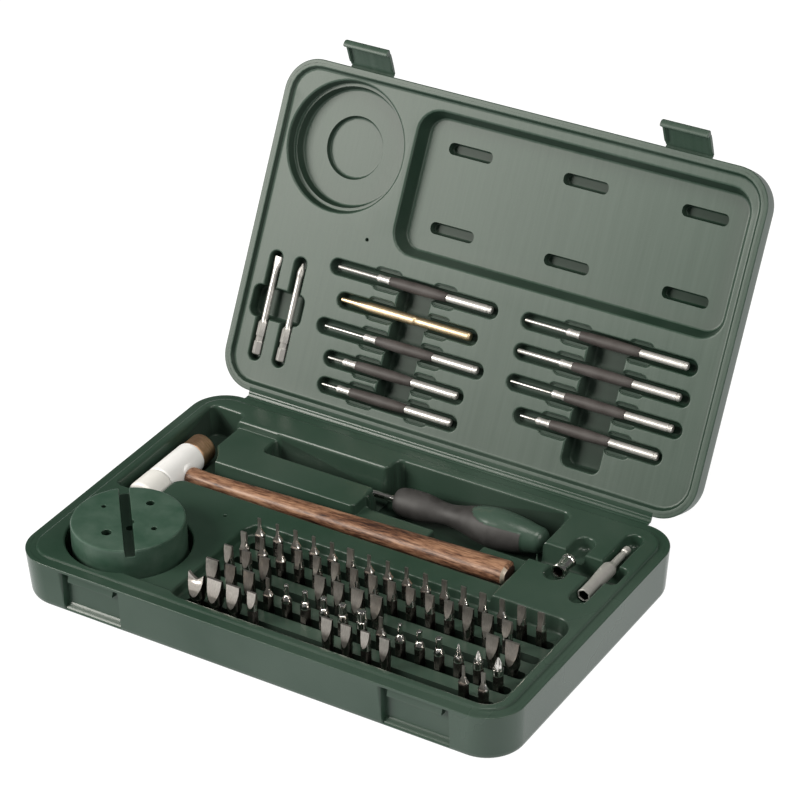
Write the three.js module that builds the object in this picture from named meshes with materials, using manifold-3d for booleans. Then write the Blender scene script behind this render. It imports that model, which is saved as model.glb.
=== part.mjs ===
// A gunsmith's bench kit in its moulded two-part case: a base with fitted pockets, a lid on a living
// hinge with two snap latches, and the tools that lie in them. Millimetres, +Z up, +Y to the hinge.
// The origin is the centre of the face that the base stands on. The lid is modelled closed, in a
// frame on the hinge line, and is then turned open.

import * as THREE from "three";
import { mergeVertices } from "three/addons/utils/BufferGeometryUtils.js";
import Module from "manifold-3d";

const wasm = await Module();
wasm.setup();

// ---- driving dimensions ----

const CASE = { width: 360, depth: 230, corner: 25 };
const WALL = 1.6;
const GAP = 0.3;
const RIM_Z = 32.5; // plane where base and lid meet
const RIM_WIDTH = 6.5;
const DECK_RAISE = 1.6; // base deck above its rim
const DECK_Z = RIM_Z + DECK_RAISE;
const LOWER_DECK_Z = DECK_Z - 5.4; // the middle of the base deck is a step lower
const BASE_EDGE = 3; // rounding under the base
const BASE_DRAFT = 1.7; // inward draft over the base's height

const LID_THICKNESS = 24;
const LID_EDGE = 12; // rounding round the lid's outer face
const LID_DRAFT = 2;
const LID_RIM_WIDTH = 4.6;
const LID_DECK = 3.2; // lid deck below the lid's rim
const LID_OPEN = 117.67; // degrees from closed
const RIM_GAP = 0.3; // between the closed halves

const HINGE = { y: 118.5, z: RIM_Z, halfWidth: 154, leaf: 1.2 };
const LATCH = { x: 118, width: 34, length: 22.5, thickness: 1.8, lip: 3.4, lipHeight: 3.4, open: 45 };
const FLANGE = { reach: 1.4, width: 1.6, top: -5.2 }; // along a latch's sides
const LATCH_PIVOT = { y: -234, z: 2 }; // in the lid's frame
const RECESS = { width: 44, y: -108.5, foot: 3, top: RIM_Z - 2 }; // in the front wall behind a latch
const CATCH = { width: 35, top: 30, foot: 16.8, reach: 4.6 };

const HEAD = { x: -152.7, z: 22.4, radius: 11.1, face: 10.2, boss: 7.6, bossEnd: -141.5 };
const HEAD_Y = { nylon: -10, body: 11, brass: 47.7, end: 62.9 };
const HANDLE = { y: 29.4, start: -149, end: 97.6, cap: 2.4, neckZ: 22, endZ: 27.6 };
const NECK = { y: 5.4, z: 4.3 };
const GRIP_END = { y: 9, z: 6.75 };

const BLOCK = { x: -124.4, y: -62.1, radius: 37, foot: 10.1, top: 46.5, slot: 7, slotDepth: 5 };

const DRIVER = { x: -17.4, y: 79.2, z: 16.8, rise: 2.4, shank: 86, bore: 5 };

const ADAPTER = { short: 128.8, long: 154.8, z: 30.6, radius: 4.9, bore: 3.5 };

const BIT = { columns: 16, pitch: 13.65, middle: 48.3, hex: 3.5, foot: 12.8, shoulder: 32, tip: 44.6 };
const BIT_ROW_Y = [-18, -35.6, -53.1, -70.7, -88.2];
const NO = 0;
const BLADES = [
  [2.4, 2.2, 2.8, 2.4, 2.8, 4.8, 2.4, 2.6, 2.6, 3.2, 3.6, 3.6, 4.6, 3.6, 5.6, 4.6],
  [4.2, 3, 3, 5, 5.3, 5.7, 5, 5.7, 5.3, 6.2, 6, 6, 7.4, 7.6, 6.8, NO],
  [6, 6.4, 7.6, NO, NO, 7.6, 7.2, 8.8, 8.4, NO, NO, NO, NO, NO, 8.8, 9.4],
  [9, 7.2, 7.6, 2.5, 3, 3.6, 4.2, 4.8, 6, 2.6, 2.8, 3.4, 4, 4, 5.5, 6.6],
  [11.4, 10.6, 9.6, 6.5, NO, NO, NO, 7.6, 7.2, 6.2, 7, NO, NO, NO, 1.8, 2.8],
];

const PUNCH_Z = 6; // punch axes above the lid's rim plane, in the lid's frame
const LEFT_Y = [-101.5, -80.8, -60.5, -40.5, -22];
const RIGHT_Y = [-101.8, -81.2, -60.5, -40.6];
const LONG_BITS = { x: [-158.2, -138.9], foot: -28.1, tip: -96.5, z: 6.4 };

// ---- colours ----

function finish(color, roughness, metalness) {
  return new THREE.MeshStandardMaterial({ color, roughness, metalness });
}

const GREEN = finish(0x33493c, 0.5, 0);
const GREEN_LID = finish(0x5a6e60, 0.55, 0);
const BLOCK_GREEN = finish(0x3b5548, 0.45, 0);
const STEEL = finish(0xc8c8c6, 0.25, 1);
const DARK_STEEL = finish(0x3a3634, 0.4, 1);
const BRASS = finish(0xc9a26a, 0.35, 1);
const COPPER = finish(0xa9764c, 0.45, 1);
const WHITE_METAL = finish(0xdadada, 0.4, 0.4);
const NYLON = finish(0xeeeeea, 0.5, 0);
const WOOD = finish(0x8a5a3a, 0.5, 0);
const GREY_RUBBER = finish(0x3f3d3a, 0.7, 0);
const DRIVER_GREEN = finish(0x36503f, 0.4, 0);

// ---- solids ----

// Keeps only positions, welds them and drops collapsed triangles, so that the mesh is closed.
function weld(geometry) {
  const bare = geometry.clone();
  bare.deleteAttribute("normal");
  bare.deleteAttribute("uv");
  const welded = mergeVertices(bare, 1e-4);
  const source = welded.index.array;
  const kept = [];
  for (let i = 0; i < source.length; i += 3) {
    const [a, b, c] = [source[i], source[i + 1], source[i + 2]];
    if (a !== b && b !== c && c !== a) {
      kept.push(a, b, c);
    }
  }
  welded.setIndex(kept);
  return welded;
}

function signedVolume(geometry) {
  const position = geometry.attributes.position;
  const index = geometry.index.array;
  const corner = [new THREE.Vector3(), new THREE.Vector3(), new THREE.Vector3()];
  let sum = 0;
  for (let i = 0; i < index.length; i += 3) {
    corner.forEach((point, k) => point.fromBufferAttribute(position, index[i + k]));
    sum += corner[0].dot(corner[1].clone().cross(corner[2])) / 6;
  }
  return sum;
}

function solid(geometry) {
  const welded = weld(geometry);
  const triangles = Uint32Array.from(welded.index.array);
  if (signedVolume(welded) < 0) {
    for (let i = 0; i < triangles.length; i += 3) {
      [triangles[i], triangles[i + 1]] = [triangles[i + 1], triangles[i]];
    }
  }
  const vertices = Float32Array.from(welded.attributes.position.array);
  const mesh = new wasm.Mesh({ numProp: 3, vertProperties: vertices, triVerts: triangles });
  return new wasm.Manifold(mesh);
}

function join(solids) {
  return solids.reduce((whole, piece) => whole.add(piece));
}

function cut(body, tools) {
  return tools.reduce((rest, tool) => rest.subtract(tool), body);
}

function toMesh(name, body, material) {
  const { vertProperties, triVerts } = body.getMesh();
  const geometry = new THREE.BufferGeometry();
  geometry.setAttribute("position", new THREE.BufferAttribute(vertProperties, 3));
  geometry.setIndex(new THREE.BufferAttribute(triVerts, 1));
  geometry.computeVertexNormals();
  const mesh = new THREE.Mesh(geometry, material);
  mesh.name = name;
  return mesh;
}

// An outline is a function of an outward offset, so that one outline gives a pocket and its wall.
function roundedRect(x0, x1, y0, y1, radius) {
  return (offset = 0) => {
    const [a, b, c, d] = [x0 - offset, x1 + offset, y0 - offset, y1 + offset];
    const limit = Math.min(b - a, d - c) / 2 - 0.01;
    const r = Math.min(Math.max(radius + offset, 0.5), limit);
    const shape = new THREE.Shape();
    shape.absarc(b - r, c + r, r, -Math.PI / 2, 0, false);
    shape.absarc(b - r, d - r, r, 0, Math.PI / 2, false);
    shape.absarc(a + r, d - r, r, Math.PI / 2, Math.PI, false);
    shape.absarc(a + r, c + r, r, Math.PI, 1.5 * Math.PI, false);
    return shape;
  };
}

function circle(x, y, radius) {
  return (offset = 0) => {
    const shape = new THREE.Shape();
    shape.absarc(x, y, radius + offset, 0, 2 * Math.PI, false);
    return shape;
  };
}

function prism(shape, z0, z1, curveSegments = 2) {
  const geometry = new THREE.ExtrudeGeometry(shape, {
    depth: z1 - z0,
    bevelEnabled: false,
    curveSegments,
  });
  return solid(geometry.translate(0, 0, z0));
}

function block(x0, x1, y0, y1, z0, z1) {
  const geometry = new THREE.BoxGeometry(x1 - x0, y1 - y0, z1 - z0);
  return solid(geometry.translate((x0 + x1) / 2, (y0 + y1) / 2, (z0 + z1) / 2));
}

// A lathe profile of [along, radius] pairs, closed on its axis, lying along +X from a start point.
function turned(profile, segments, start = [0, 0, 0]) {
  const points = profile.map(([along, radius]) => new THREE.Vector2(radius, along));
  const geometry = new THREE.LatheGeometry(points, segments);
  geometry.rotateZ(-Math.PI / 2);
  geometry.translate(...start);
  return geometry;
}

// A case half before it is hollowed: rounded at the foot (z = 0), drafted, and cut flat at its height.
function caseForm(inset, height, edge, draft, lift) {
  const half = [CASE.width / 2 - inset, CASE.depth / 2 - inset];
  const e = Math.max(edge - inset, 1);
  const r = Math.max(CASE.corner - inset - e, 2);
  const outline = roundedRect(-half[0] + e, half[0] - e, -half[1] + e, half[1] - e, r)();
  const geometry = new THREE.ExtrudeGeometry(outline, {
    depth: height + 20,
    bevelEnabled: true,
    bevelThickness: e,
    bevelSize: e,
    bevelSegments: 3,
    curveSegments: 3,
  });
  geometry.translate(0, 0, e + lift);
  const position = geometry.attributes.position;
  for (let i = 0; i < position.count; i += 1) {
    const narrowing = draft * (1 - position.getZ(i) / height);
    position.setX(i, position.getX(i) * (1 - narrowing / half[0]));
    position.setY(i, position.getY(i) * (1 - narrowing / half[1]));
  }
  return solid(geometry);
}

// ---- base ----

const FRONT = -CASE.depth / 2;

function recessBox(side, grow) {
  const half = RECESS.width / 2 + grow;
  const x = side * LATCH.x;
  return block(x - half, x + half, FRONT - 5, RECESS.y + grow, RECESS.foot - grow, RECESS.top + grow);
}

function catchWedge(side) {
  const profile = new THREE.Shape();
  profile.moveTo(RECESS.y + 0.5, CATCH.top);
  profile.lineTo(RECESS.y, CATCH.top);
  profile.lineTo(RECESS.y - CATCH.reach, CATCH.foot);
  profile.lineTo(RECESS.y + 0.5, CATCH.foot);
  const geometry = new THREE.ExtrudeGeometry(profile, { depth: CATCH.width, bevelEnabled: false });
  geometry.applyMatrix4(new THREE.Matrix4().set(0, 0, 1, 0, 1, 0, 0, 0, 0, 1, 0, 0, 0, 0, 0, 1));
  return solid(geometry.translate(side * LATCH.x - CATCH.width / 2, 0, 0));
}

function baseOuterWall() {
  const above = block(-200, 200, -150, 150, RIM_Z, RIM_Z + 60);
  const outer = cut(caseForm(0, RIM_Z, BASE_EDGE, BASE_DRAFT, 0), [above]);
  const sides = [-1, 1];
  const form = cut(outer, sides.map((side) => recessBox(side, 0)));
  const ceiling = block(-200, 200, -150, 150, RIM_Z - WALL, RIM_Z + 60);
  const hollow = cut(caseForm(WALL, RIM_Z, BASE_EDGE, BASE_DRAFT, WALL), [ceiling]);
  const cavity = cut(hollow, sides.map((side) => recessBox(side, WALL)));
  const half = [CASE.width / 2 - RIM_WIDTH, CASE.depth / 2 - RIM_WIDTH];
  const r = CASE.corner - RIM_WIDTH;
  const mouthFoot = RIM_Z - WALL - 2 * GAP;
  const mouth = prism(roundedRect(-half[0], half[0], -half[1], half[1], r)(), mouthFoot, RIM_Z + 5, 3);
  const shell = cut(form, [cavity, mouth]);
  return join([shell, ...sides.map(catchWedge)]);
}

// The hammer's neck lies in a shallow bay with a curved far side.
const NECK_RELIEF = { x: -175, y: 30, radius: 46.3, x0: -150, y0: 15.3, y1: 63, floor: 16.8 };

function neckOutline(offset = 0) {
  const { x, y, radius, x0, y0, y1 } = NECK_RELIEF;
  const shape = new THREE.Shape();
  shape.moveTo(x0, y1 + offset);
  shape.lineTo(x0, y0 - offset);
  shape.absarc(x, y, radius + offset, Math.asin((y0 - y) / radius), Math.asin((y1 - y) / radius), false);
  return shape;
}

// Each pocket of the base tray: its outline at the deck and the height of its floor.
const headPocket = { outline: roundedRect(-167, -141, -16.5, 95.5, 5), floor: 10.9 };
const handleChannel = { outline: roundedRect(-147, 106.8, 15.3, 43.9, 3), floor: NECK_RELIEF.floor };
const driverPocket = { outline: roundedRect(-22.5, 107, 57.6, 100, 5.4), floor: 5 };
const ridge = { outline: roundedRect(-22.5, 106.9, 43, 58.5, 1), floor: 20.6 };
const fingerNotch = { outline: roundedRect(30.6, 66.6, 40, 62, 4), floor: 8 };
const shankSlot = { outline: roundedRect(-109.8, -20, 69.7, 86.2, 5), floor: 8.4 };
const blockPocket = { outline: circle(-124, -63.2, 40.6), floor: 9.8, round: 16 };
const bitTray = { outline: roundedRect(-69.8, 166.5, -102.2, -3.8, 12), floor: 21.7, round: 2 };
const shortPocket = { outline: roundedRect(123.3, 136.8, 29.7, 81, 6.7), floor: 25.4 };
const longPocket = { outline: roundedRect(149.4, 161.1, 15.3, 99, 5.8), floor: 25.4 };
const fingerChannel = { outline: roundedRect(105, 168.3, 43.2, 63, 4), floor: 18.8 };
const neckRelief = { outline: neckOutline, floor: NECK_RELIEF.floor, round: 4 };
const lowerDeck = { outline: roundedRect(-143, 107, -98, 86.4, 3), floor: LOWER_DECK_Z };

function bitSlots() {
  const half = (BIT.columns * BIT.pitch) / 2 + 2;
  return BIT_ROW_Y.map((y) => ({
    outline: roundedRect(BIT.middle - half, BIT.middle + half, y - 3.9, y + 3.9, 3.8),
    floor: BIT.foot - GAP,
  }));
}

const BASE_POCKETS = [lowerDeck, headPocket, handleChannel, neckRelief, driverPocket, ridge, fingerNotch];
BASE_POCKETS.push(shankSlot, blockPocket, bitTray, shortPocket, longPocket, fingerChannel, ...bitSlots());

function baseTray() {
  const inset = RIM_WIDTH + GAP;
  const half = [CASE.width / 2 - inset, CASE.depth / 2 - inset];
  const outline = roundedRect(-half[0], half[0], -half[1], half[1], CASE.corner - inset)();
  const deck = prism(outline, RIM_Z - WALL, DECK_Z, 3);
  const walls = BASE_POCKETS.map((pocket) => {
    const top = pocket.floor < LOWER_DECK_Z - 1 ? RIM_Z : DECK_Z;
    return prism(pocket.outline(WALL), pocket.floor - WALL, top, pocket.round ?? 1);
  });
  const tools = BASE_POCKETS.map((pocket) => {
    return prism(pocket.outline(), pocket.floor, DECK_Z + 5, pocket.round ?? 1);
  });
  return cut(join([deck, ...walls]), tools);
}

// ---- lid, closed, with the hinge line as its x axis ----

const LID_BACK = CASE.depth / 2 - HINGE.y;
const LID_MIDDLE = LID_BACK - CASE.depth / 2;

function lidOutline(inset) {
  const half = CASE.width / 2 - inset;
  return roundedRect(-half, half, LID_BACK - CASE.depth + inset, LID_BACK - inset, CASE.corner - inset);
}

// The case form stands on its closed face, so it is turned over to make the lid.
function lidForm(inset, lift) {
  const form = caseForm(inset, LID_THICKNESS, LID_EDGE, LID_DRAFT, lift).getMesh();
  const geometry = new THREE.BufferGeometry();
  geometry.setAttribute("position", new THREE.BufferAttribute(form.vertProperties, 3));
  geometry.setIndex(new THREE.BufferAttribute(form.triVerts, 1));
  geometry.rotateX(Math.PI);
  geometry.translate(0, LID_MIDDLE, LID_THICKNESS);
  return solid(geometry);
}

function lidOuterWall() {
  const below = block(-200, 200, -300, 50, -60, RIM_GAP);
  const outer = cut(lidForm(0, 0), [below]);
  const floor = block(-200, 200, -300, 50, -60, RIM_GAP + WALL);
  const cavity = cut(lidForm(WALL, WALL), [floor]);
  const mouth = prism(lidOutline(LID_RIM_WIDTH)(), -5, 12, 3);
  return cut(outer, [cavity, mouth]);
}

const ROUND_RECESS = { x: -126, y: -180.6 }; // over the bench block when the lid is shut
const RECT_RECESS = { x0: -75.4, x1: 168.5, y0: -219.8, y1: -121.5, slope: 4.2, floor: 14.2 };

// A rounded rectangle whose walls lean in by `lean` from the deck to the floor.
function leaningPocket({ x0, x1, y0, y1 }, radius, z0, z1, lean, offset) {
  const outline = roundedRect(x0, x1, y0, y1, radius)(offset);
  const geometry = new THREE.ExtrudeGeometry(outline, {
    depth: z1 - z0,
    bevelEnabled: false,
    curveSegments: 2,
  });
  geometry.translate(0, 0, z0);
  const middle = [(x0 + x1) / 2, (y0 + y1) / 2];
  const half = [(x1 - x0) / 2 + offset, (y1 - y0) / 2 + offset];
  const position = geometry.attributes.position;
  for (let i = 0; i < position.count; i += 1) {
    const depth = Math.max(0, (position.getZ(i) - z0) / (z1 - z0));
    position.setX(i, middle[0] + (position.getX(i) - middle[0]) * (1 - (lean * depth) / half[0]));
    position.setY(i, middle[1] + (position.getY(i) - middle[1]) * (1 - (lean * depth) / half[1]));
  }
  return solid(geometry);
}

function punchPocket(x0, x1, y) {
  return { outline: roundedRect(x0, x1, y - 5.2, y + 5.2, 5), floor: PUNCH_Z + 4.3 };
}

const LEFT_CHANNEL = [-61, -36.7];
const RIGHT_CHANNEL = [82, 109];
const LEFT_ENDS = [[-115.9, 12.8], [-105.1, 2.9], [-115.9, 12.8], [-105.1, 2.9], [-105.1, 2.9]];
const RIGHT_ENDS = [[31.2, 158.6], [31.2, 158.6], [31.2, 158.6], [41.6, 149.6]];

function lidPockets() {
  const left = LEFT_Y.map((y, i) => punchPocket(...LEFT_ENDS[i], y));
  const right = RIGHT_Y.map((y, i) => punchPocket(...RIGHT_ENDS[i], y));
  const bits = LONG_BITS.x.map((x) => ({
    outline: roundedRect(x - 4.6, x + 4.6, LONG_BITS.tip - 4, LONG_BITS.foot + 4, 4.5),
    floor: LONG_BITS.z + 4,
  }));
  const slots = [-38.5, 47.9, 134.3].flatMap((x) => [-197.1, -143.1].map((y) => ({
    outline: roundedRect(x - 16.5, x + 16.5, y - 4, y + 4, 3),
    floor: 20.2,
  })));
  const channels = [
    { outline: roundedRect(...LEFT_CHANNEL, -101.5, -22, 3), floor: 15 },
    { outline: roundedRect(...RIGHT_CHANNEL, -101.8, -18, 5), floor: 15 },
    { outline: roundedRect(-169.5, -129.4, -75.4, -53.8, 5), floor: 13 },
  ];
  const { x, y } = ROUND_RECESS;
  const rings = [
    { outline: circle(x, y, 44), floor: 10, round: 16 },
    { outline: circle(x, y, 41), floor: 16.7, round: 16 },
    { outline: circle(x, y, 21.6), floor: 20.3, round: 10 },
  ];
  return [...left, ...right, ...bits, ...slots, ...channels, ...rings];
}

function lidTray() {
  const inset = LID_RIM_WIDTH + GAP;
  const dish = prism(lidOutline(inset)(), RIM_GAP, LID_DECK + WALL, 3);
  const inside = prism(lidOutline(inset + WALL)(), -5, LID_DECK, 3);
  const pockets = lidPockets();
  const { slope, floor } = RECT_RECESS;
  const deckTop = LID_DECK + WALL;
  const walls = pockets.map(({ outline, floor: z, round = 1 }) => (
    prism(outline(WALL), deckTop - 1, z + WALL, round)
  ));
  const tools = pockets.map(({ outline, floor: z, round = 1 }) => prism(outline(), -5, z, round));
  const recessWall = leaningPocket(RECT_RECESS, 16, deckTop - 1, floor + WALL, slope, WALL);
  const recess = leaningPocket(RECT_RECESS, 16, LID_DECK - 0.01, floor, slope, 0);
  return cut(join([dish, ...walls, recessWall]), [inside, ...tools, recess]);
}

// ---- hinge leaves and latches ----

function hingeLeaf(y0, y1, z0) {
  return block(-HINGE.halfWidth, HINGE.halfWidth, y0, y1, z0, z0 + HINGE.leaf);
}

// A latch hangs from its pivot: a plate with a flange along each side and a lip under the catch.
function latch() {
  const half = LATCH.width / 2;
  const foot = -LATCH.length;
  const plate = block(-half, half, -LATCH.thickness, 0, foot, -0.6);
  const lip = block(-half, half, -LATCH.thickness, LATCH.lip, foot, foot + LATCH.lipHeight);
  const left = block(-half, FLANGE.width - half, -LATCH.thickness, FLANGE.reach, foot, FLANGE.top);
  const right = block(half - FLANGE.width, half, -LATCH.thickness, FLANGE.reach, foot, FLANGE.top);
  return join([plate, lip, left, right]);
}

// ---- hammer ----

function alongY(profile, segments, x, z) {
  return solid(turned(profile, segments).rotateZ(Math.PI / 2).translate(x, 0, z));
}

// An oval bar along X through a list of sections, each with a place, a height and two half widths.
function ovalBar(sections, grow) {
  const last = sections.length - 1;
  const geometry = new THREE.CylinderGeometry(1, 1, 1, 20, last);
  geometry.rotateZ(-Math.PI / 2);
  const position = geometry.attributes.position;
  for (let i = 0; i < position.count; i += 1) {
    const { x, z, half } = sections[Math.round((position.getX(i) + 0.5) * last)];
    position.setX(i, x);
    position.setY(i, HANDLE.y + position.getY(i) * (half.y + grow));
    position.setZ(i, z + position.getZ(i) * (half.z + grow));
  }
  return solid(geometry);
}

function hammerParts() {
  const { x, z, radius, boss, bossEnd } = HEAD;
  const y = HEAD_Y;
  const barrel = alongY([[y.body, 0], [y.body, radius], [y.brass, radius], [y.brass, 0]], 24, x, z);
  const stub = solid(turned([[x, 0], [x, boss], [bossEnd, boss - 0.6], [bossEnd, 0]], 24, [0, HANDLE.y, z]));
  const neck = { x: bossEnd, z: HANDLE.neckZ, half: NECK };
  const eye = ovalBar([{ ...neck, x: HANDLE.start }, { ...neck, x: bossEnd + 2 }], GAP);
  const end = { x: HANDLE.end, z: HANDLE.endZ, half: GRIP_END };
  const cap = { y: GRIP_END.y - HANDLE.cap, z: GRIP_END.z - HANDLE.cap };
  const tip = { x: HANDLE.end + HANDLE.cap, z: HANDLE.endZ, half: cap };
  const handle = ovalBar([{ ...neck, x: HANDLE.start + GAP }, neck, end, tip], 0);
  return [
    toMesh("hammer_head", cut(join([barrel, stub]), [eye]), WHITE_METAL),
    toMesh("hammer_brass_face", face(y.brass + GAP, y.end, HEAD.face, 1), COPPER),
    toMesh("hammer_nylon_face", face(y.nylon, y.body - GAP, radius + 0.2, 1.5), NYLON),
    toMesh("hammer_handle", handle, WOOD),
  ];
}

function face(y0, y1, radius, chamfer) {
  const profile = [
    [y0, 0],
    [y0, radius - chamfer],
    [y0 + chamfer, radius],
    [y1 - chamfer, radius],
    [y1, radius - chamfer],
    [y1, 0],
  ];
  return alongY(profile, 24, HEAD.x, HEAD.z);
}

// ---- bench block ----

const SLOT_ANGLE = -51.5; // the groove across the top, from the +X axis
const SLOT_SHIFT = [2, -1.5]; // its middle from the block's axis

function benchBlock() {
  const { x, y, radius, foot, top } = BLOCK;
  const profile = [
    [foot, 0], [foot, radius - 1], [foot + 1, radius],
    [top - 1, radius], [top, radius - 1], [top, 0],
  ];
  const points = profile.map(([z, r]) => new THREE.Vector2(r, z));
  const disc = solid(new THREE.LatheGeometry(points, 32).rotateX(Math.PI / 2).translate(x, y, 0));
  const slotLength = radius * 2 + 4;
  const slot = new THREE.BoxGeometry(slotLength, BLOCK.slot, BLOCK.slotDepth * 2);
  slot.rotateZ(THREE.MathUtils.degToRad(SLOT_ANGLE));
  const holes = [[2, 21.6, 2.7], [-21.6, 3.6, 1.6], [20.7, -1, 1.9], [-2.7, -19.8, 3.2], [3, -2.4, 2.8]];
  const drills = holes.map(([dx, dy, r]) => prism(circle(x + dx, y + dy, r)(), foot - 5, top + 5, 4));
  return cut(disc, [solid(slot.translate(x + SLOT_SHIFT[0], y + SLOT_SHIFT[1], top)), ...drills]);
}

// ---- screwdriver: shank, core and grip, on an axis that dips towards the shank ----

const GRIP_PROFILE = [[6, 5.6], [7, 7.8], [10, 9.2], [18, 9.9], [26, 9.8], [34, 8.6], [42, 7.3], [46, 7.1]];
GRIP_PROFILE.push([53, 8], [61, 10], [71, 12.6], [80, 13.7], [90, 13.2], [104, 10.9]);
const BUTT_PROFILE = [[104.3, 10.8], [109, 9.6], [113, 8.7], [116.5, 6.6], [118.4, 3], [118.6, 0]];

function driverParts() {
  const { bore, shank } = DRIVER;
  const [front, back] = [GRIP_PROFILE[0][0], BUTT_PROFILE[0][0]];
  const grip = [...GRIP_PROFILE, [back - GAP, bore + GAP], [front, bore + GAP], GRIP_PROFILE[0]];
  const core = [[front + 2, 0], [front + 2, bore], [back, bore], ...BUTT_PROFILE];
  const stemEnd = front + 2 - GAP;
  const stem = [
    [-shank, 0], [-shank, 4.4], [-shank + 24, 4.4],
    [-shank + 26, 2.3], [stemEnd, 2.3], [stemEnd, 0],
  ];
  const socket = [[-shank - 1, 0], [-shank - 1, 3.3], [-shank + 12, 3.3], [-shank + 12, 0]];
  const shankBody = cut(solid(turned(stem, 16)), [solid(turned(socket, 6))]);
  return [
    toMesh("driver_shank", shankBody, STEEL),
    toMesh("driver_core", solid(turned(core, 20)), DRIVER_GREEN),
    toMesh("driver_grip", solid(turned(grip, 20)), GREY_RUBBER),
  ];
}

// ---- adapters ----

// An adapter lies along +Y and has a hexagonal bore in its front end.
function adapter(profile, x, depth) {
  const front = profile[0][0];
  const bore = [[front - 2, 0], [front - 2, ADAPTER.bore], [front + depth, ADAPTER.bore], [front + depth, 0]];
  return cut(alongY(profile, 16, x, ADAPTER.z), [alongY(bore, 6, x, ADAPTER.z)]);
}

function shortAdapter() {
  const r = ADAPTER.radius;
  const profile = [
    [42.6, 0], [42.6, r], [46, r], [47, r - 0.5],
    [54.5, r - 0.5], [55.5, r], [58, r], [58, 0],
  ];
  return adapter(profile, ADAPTER.short, 10.4);
}

function longAdapter() {
  const r = ADAPTER.radius;
  const profile = [
    [28, 0], [28, r - 0.5], [40, r - 0.7], [52, r],
    [62, r], [65.5, 2.6], [80, 2.4], [81, 2.6],
  ];
  profile.push([86.6, 2.6], [86.8, 0]);
  return adapter(profile, ADAPTER.long, 11);
}

// ---- bits: one row is joined by a strip at the foot of its slot ----

function bit(x, y, width) {
  const hex = new THREE.CylinderGeometry(BIT.hex, BIT.hex, BIT.shoulder - BIT.foot, 6);
  hex.rotateX(Math.PI / 2).translate(x, y, (BIT.shoulder + BIT.foot) / 2);
  const bladeFoot = BIT.shoulder - 1;
  const thickness = Math.min(width, 2);
  const halves = [width / 2, thickness / 2];
  const blade = block(x - halves[0], x + halves[0], y - halves[1], y + halves[1], bladeFoot, BIT.tip);
  return join([solid(hex), blade]);
}

function bitRow(row) {
  const first = BIT.middle - ((BIT.columns - 1) / 2) * BIT.pitch;
  const y = BIT_ROW_Y[row];
  const places = BLADES[row].map((width, i) => ({ width, x: first + i * BIT.pitch }));
  const present = places.filter((b) => b.width > 0);
  const ends = [present[0].x, present[present.length - 1].x];
  const strip = block(ends[0], ends[1], y - 1.2, y + 1.2, BIT.foot, BIT.foot + 2.5);
  return join([strip, ...present.map(({ x, width }) => bit(x, y, width))]);
}

// ---- punches and long bits in the lid ----

function punchParts(name, x, y, lengths, tipRadius) {
  const [tip, collar, grip, tail] = lengths;
  const xs = [x, x + tip, x + tip + collar, x + tip + collar + grip, x + tip + collar + grip + tail];
  const core = 2.1;
  const steel = [
    [xs[0], 0], [xs[0], tipRadius], [xs[1], tipRadius], [xs[1] + 0.6, 2.3], [xs[2] - GAP, 2.3],
    [xs[2] - GAP, core], [xs[3] + GAP, core], [xs[3] + GAP, 2.5], [xs[4] - 0.6, 2.5], [xs[4], 2], [xs[4], 0],
  ];
  const sleeve = [
    [xs[2], core + GAP], [xs[2], 3], [xs[2] + grip * 0.35, 3.9], [xs[3], 3], [xs[3], core + GAP],
    [xs[2], core + GAP],
  ];
  const at = [0, y, PUNCH_Z];
  return [
    toMesh(`${name}_pin`, solid(turned(steel, 8, at)), STEEL),
    toMesh(`${name}_grip`, solid(turned(sleeve, 8, at)), GREY_RUBBER),
  ];
}

const LONG_PUNCH = [31.5, 9.4, 43.7, 34.2];
const SHORT_PUNCH = [12.6, 9.9, 43.2, 35.1];

function leftPunches() {
  return [
    punchParts("punch_left_1", -111.2, LEFT_Y[0], LONG_PUNCH, 1.1),
    punchParts("punch_left_3", -111.2, LEFT_Y[2], LONG_PUNCH, 0.7),
    punchParts("punch_left_4", -103.3, LEFT_Y[3], SHORT_PUNCH, 0.8),
    punchParts("punch_left_5", -103.3, LEFT_Y[4], SHORT_PUNCH, 0.7),
  ];
}

function rightPunches() {
  return [
    punchParts("punch_right_1", 32.6, RIGHT_Y[0], LONG_PUNCH, 1),
    punchParts("punch_right_2", 32.6, RIGHT_Y[1], LONG_PUNCH, 1.5),
    punchParts("punch_right_3", 32.6, RIGHT_Y[2], LONG_PUNCH, 0.7),
    punchParts("punch_right_4", 45.2, RIGHT_Y[3], SHORT_PUNCH, 0.8),
  ];
}

function brassPunch() {
  const profile = [
    [-103.3, 0], [-103.3, 1.1], [-90, 1.8], [-82, 2.9], [-42, 2.9], [-38, 2.3], [-3, 2.3], [-2.5, 0],
  ];
  return solid(turned(profile, 8, [0, LEFT_Y[1], PUNCH_Z]));
}

function longBit(x) {
  const { foot, tip, z } = LONG_BITS;
  const profile = [
    [tip, 0], [tip, 2.6], [tip + 10, 2], [tip + 42, 2], [tip + 44, 3.2], [foot - 14, 3.2], [foot - 13, 2.5],
    [foot - 10, 2.5], [foot - 9, 3.2], [foot, 3], [foot, 0],
  ];
  return alongY(profile, 6, x, z);
}

// ---- assembly ----

const kit = new THREE.Group();
kit.add(toMesh("base_outer_wall", baseOuterWall(), GREEN));
kit.add(toMesh("base_tray", baseTray(), GREEN));
kit.add(toMesh("base_hinge_leaf", hingeLeaf(115.2, HINGE.y - GAP, HINGE.z - 0.2 - HINGE.leaf), GREEN));
kit.add(...hammerParts());
kit.add(toMesh("bench_block", benchBlock(), BLOCK_GREEN));
kit.add(toMesh("adapter_short", shortAdapter(), DARK_STEEL));
kit.add(toMesh("adapter_long", longAdapter(), STEEL));
BIT_ROW_Y.forEach((y, row) => kit.add(toMesh(`bit_row_${row + 1}`, bitRow(row), DARK_STEEL)));

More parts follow.
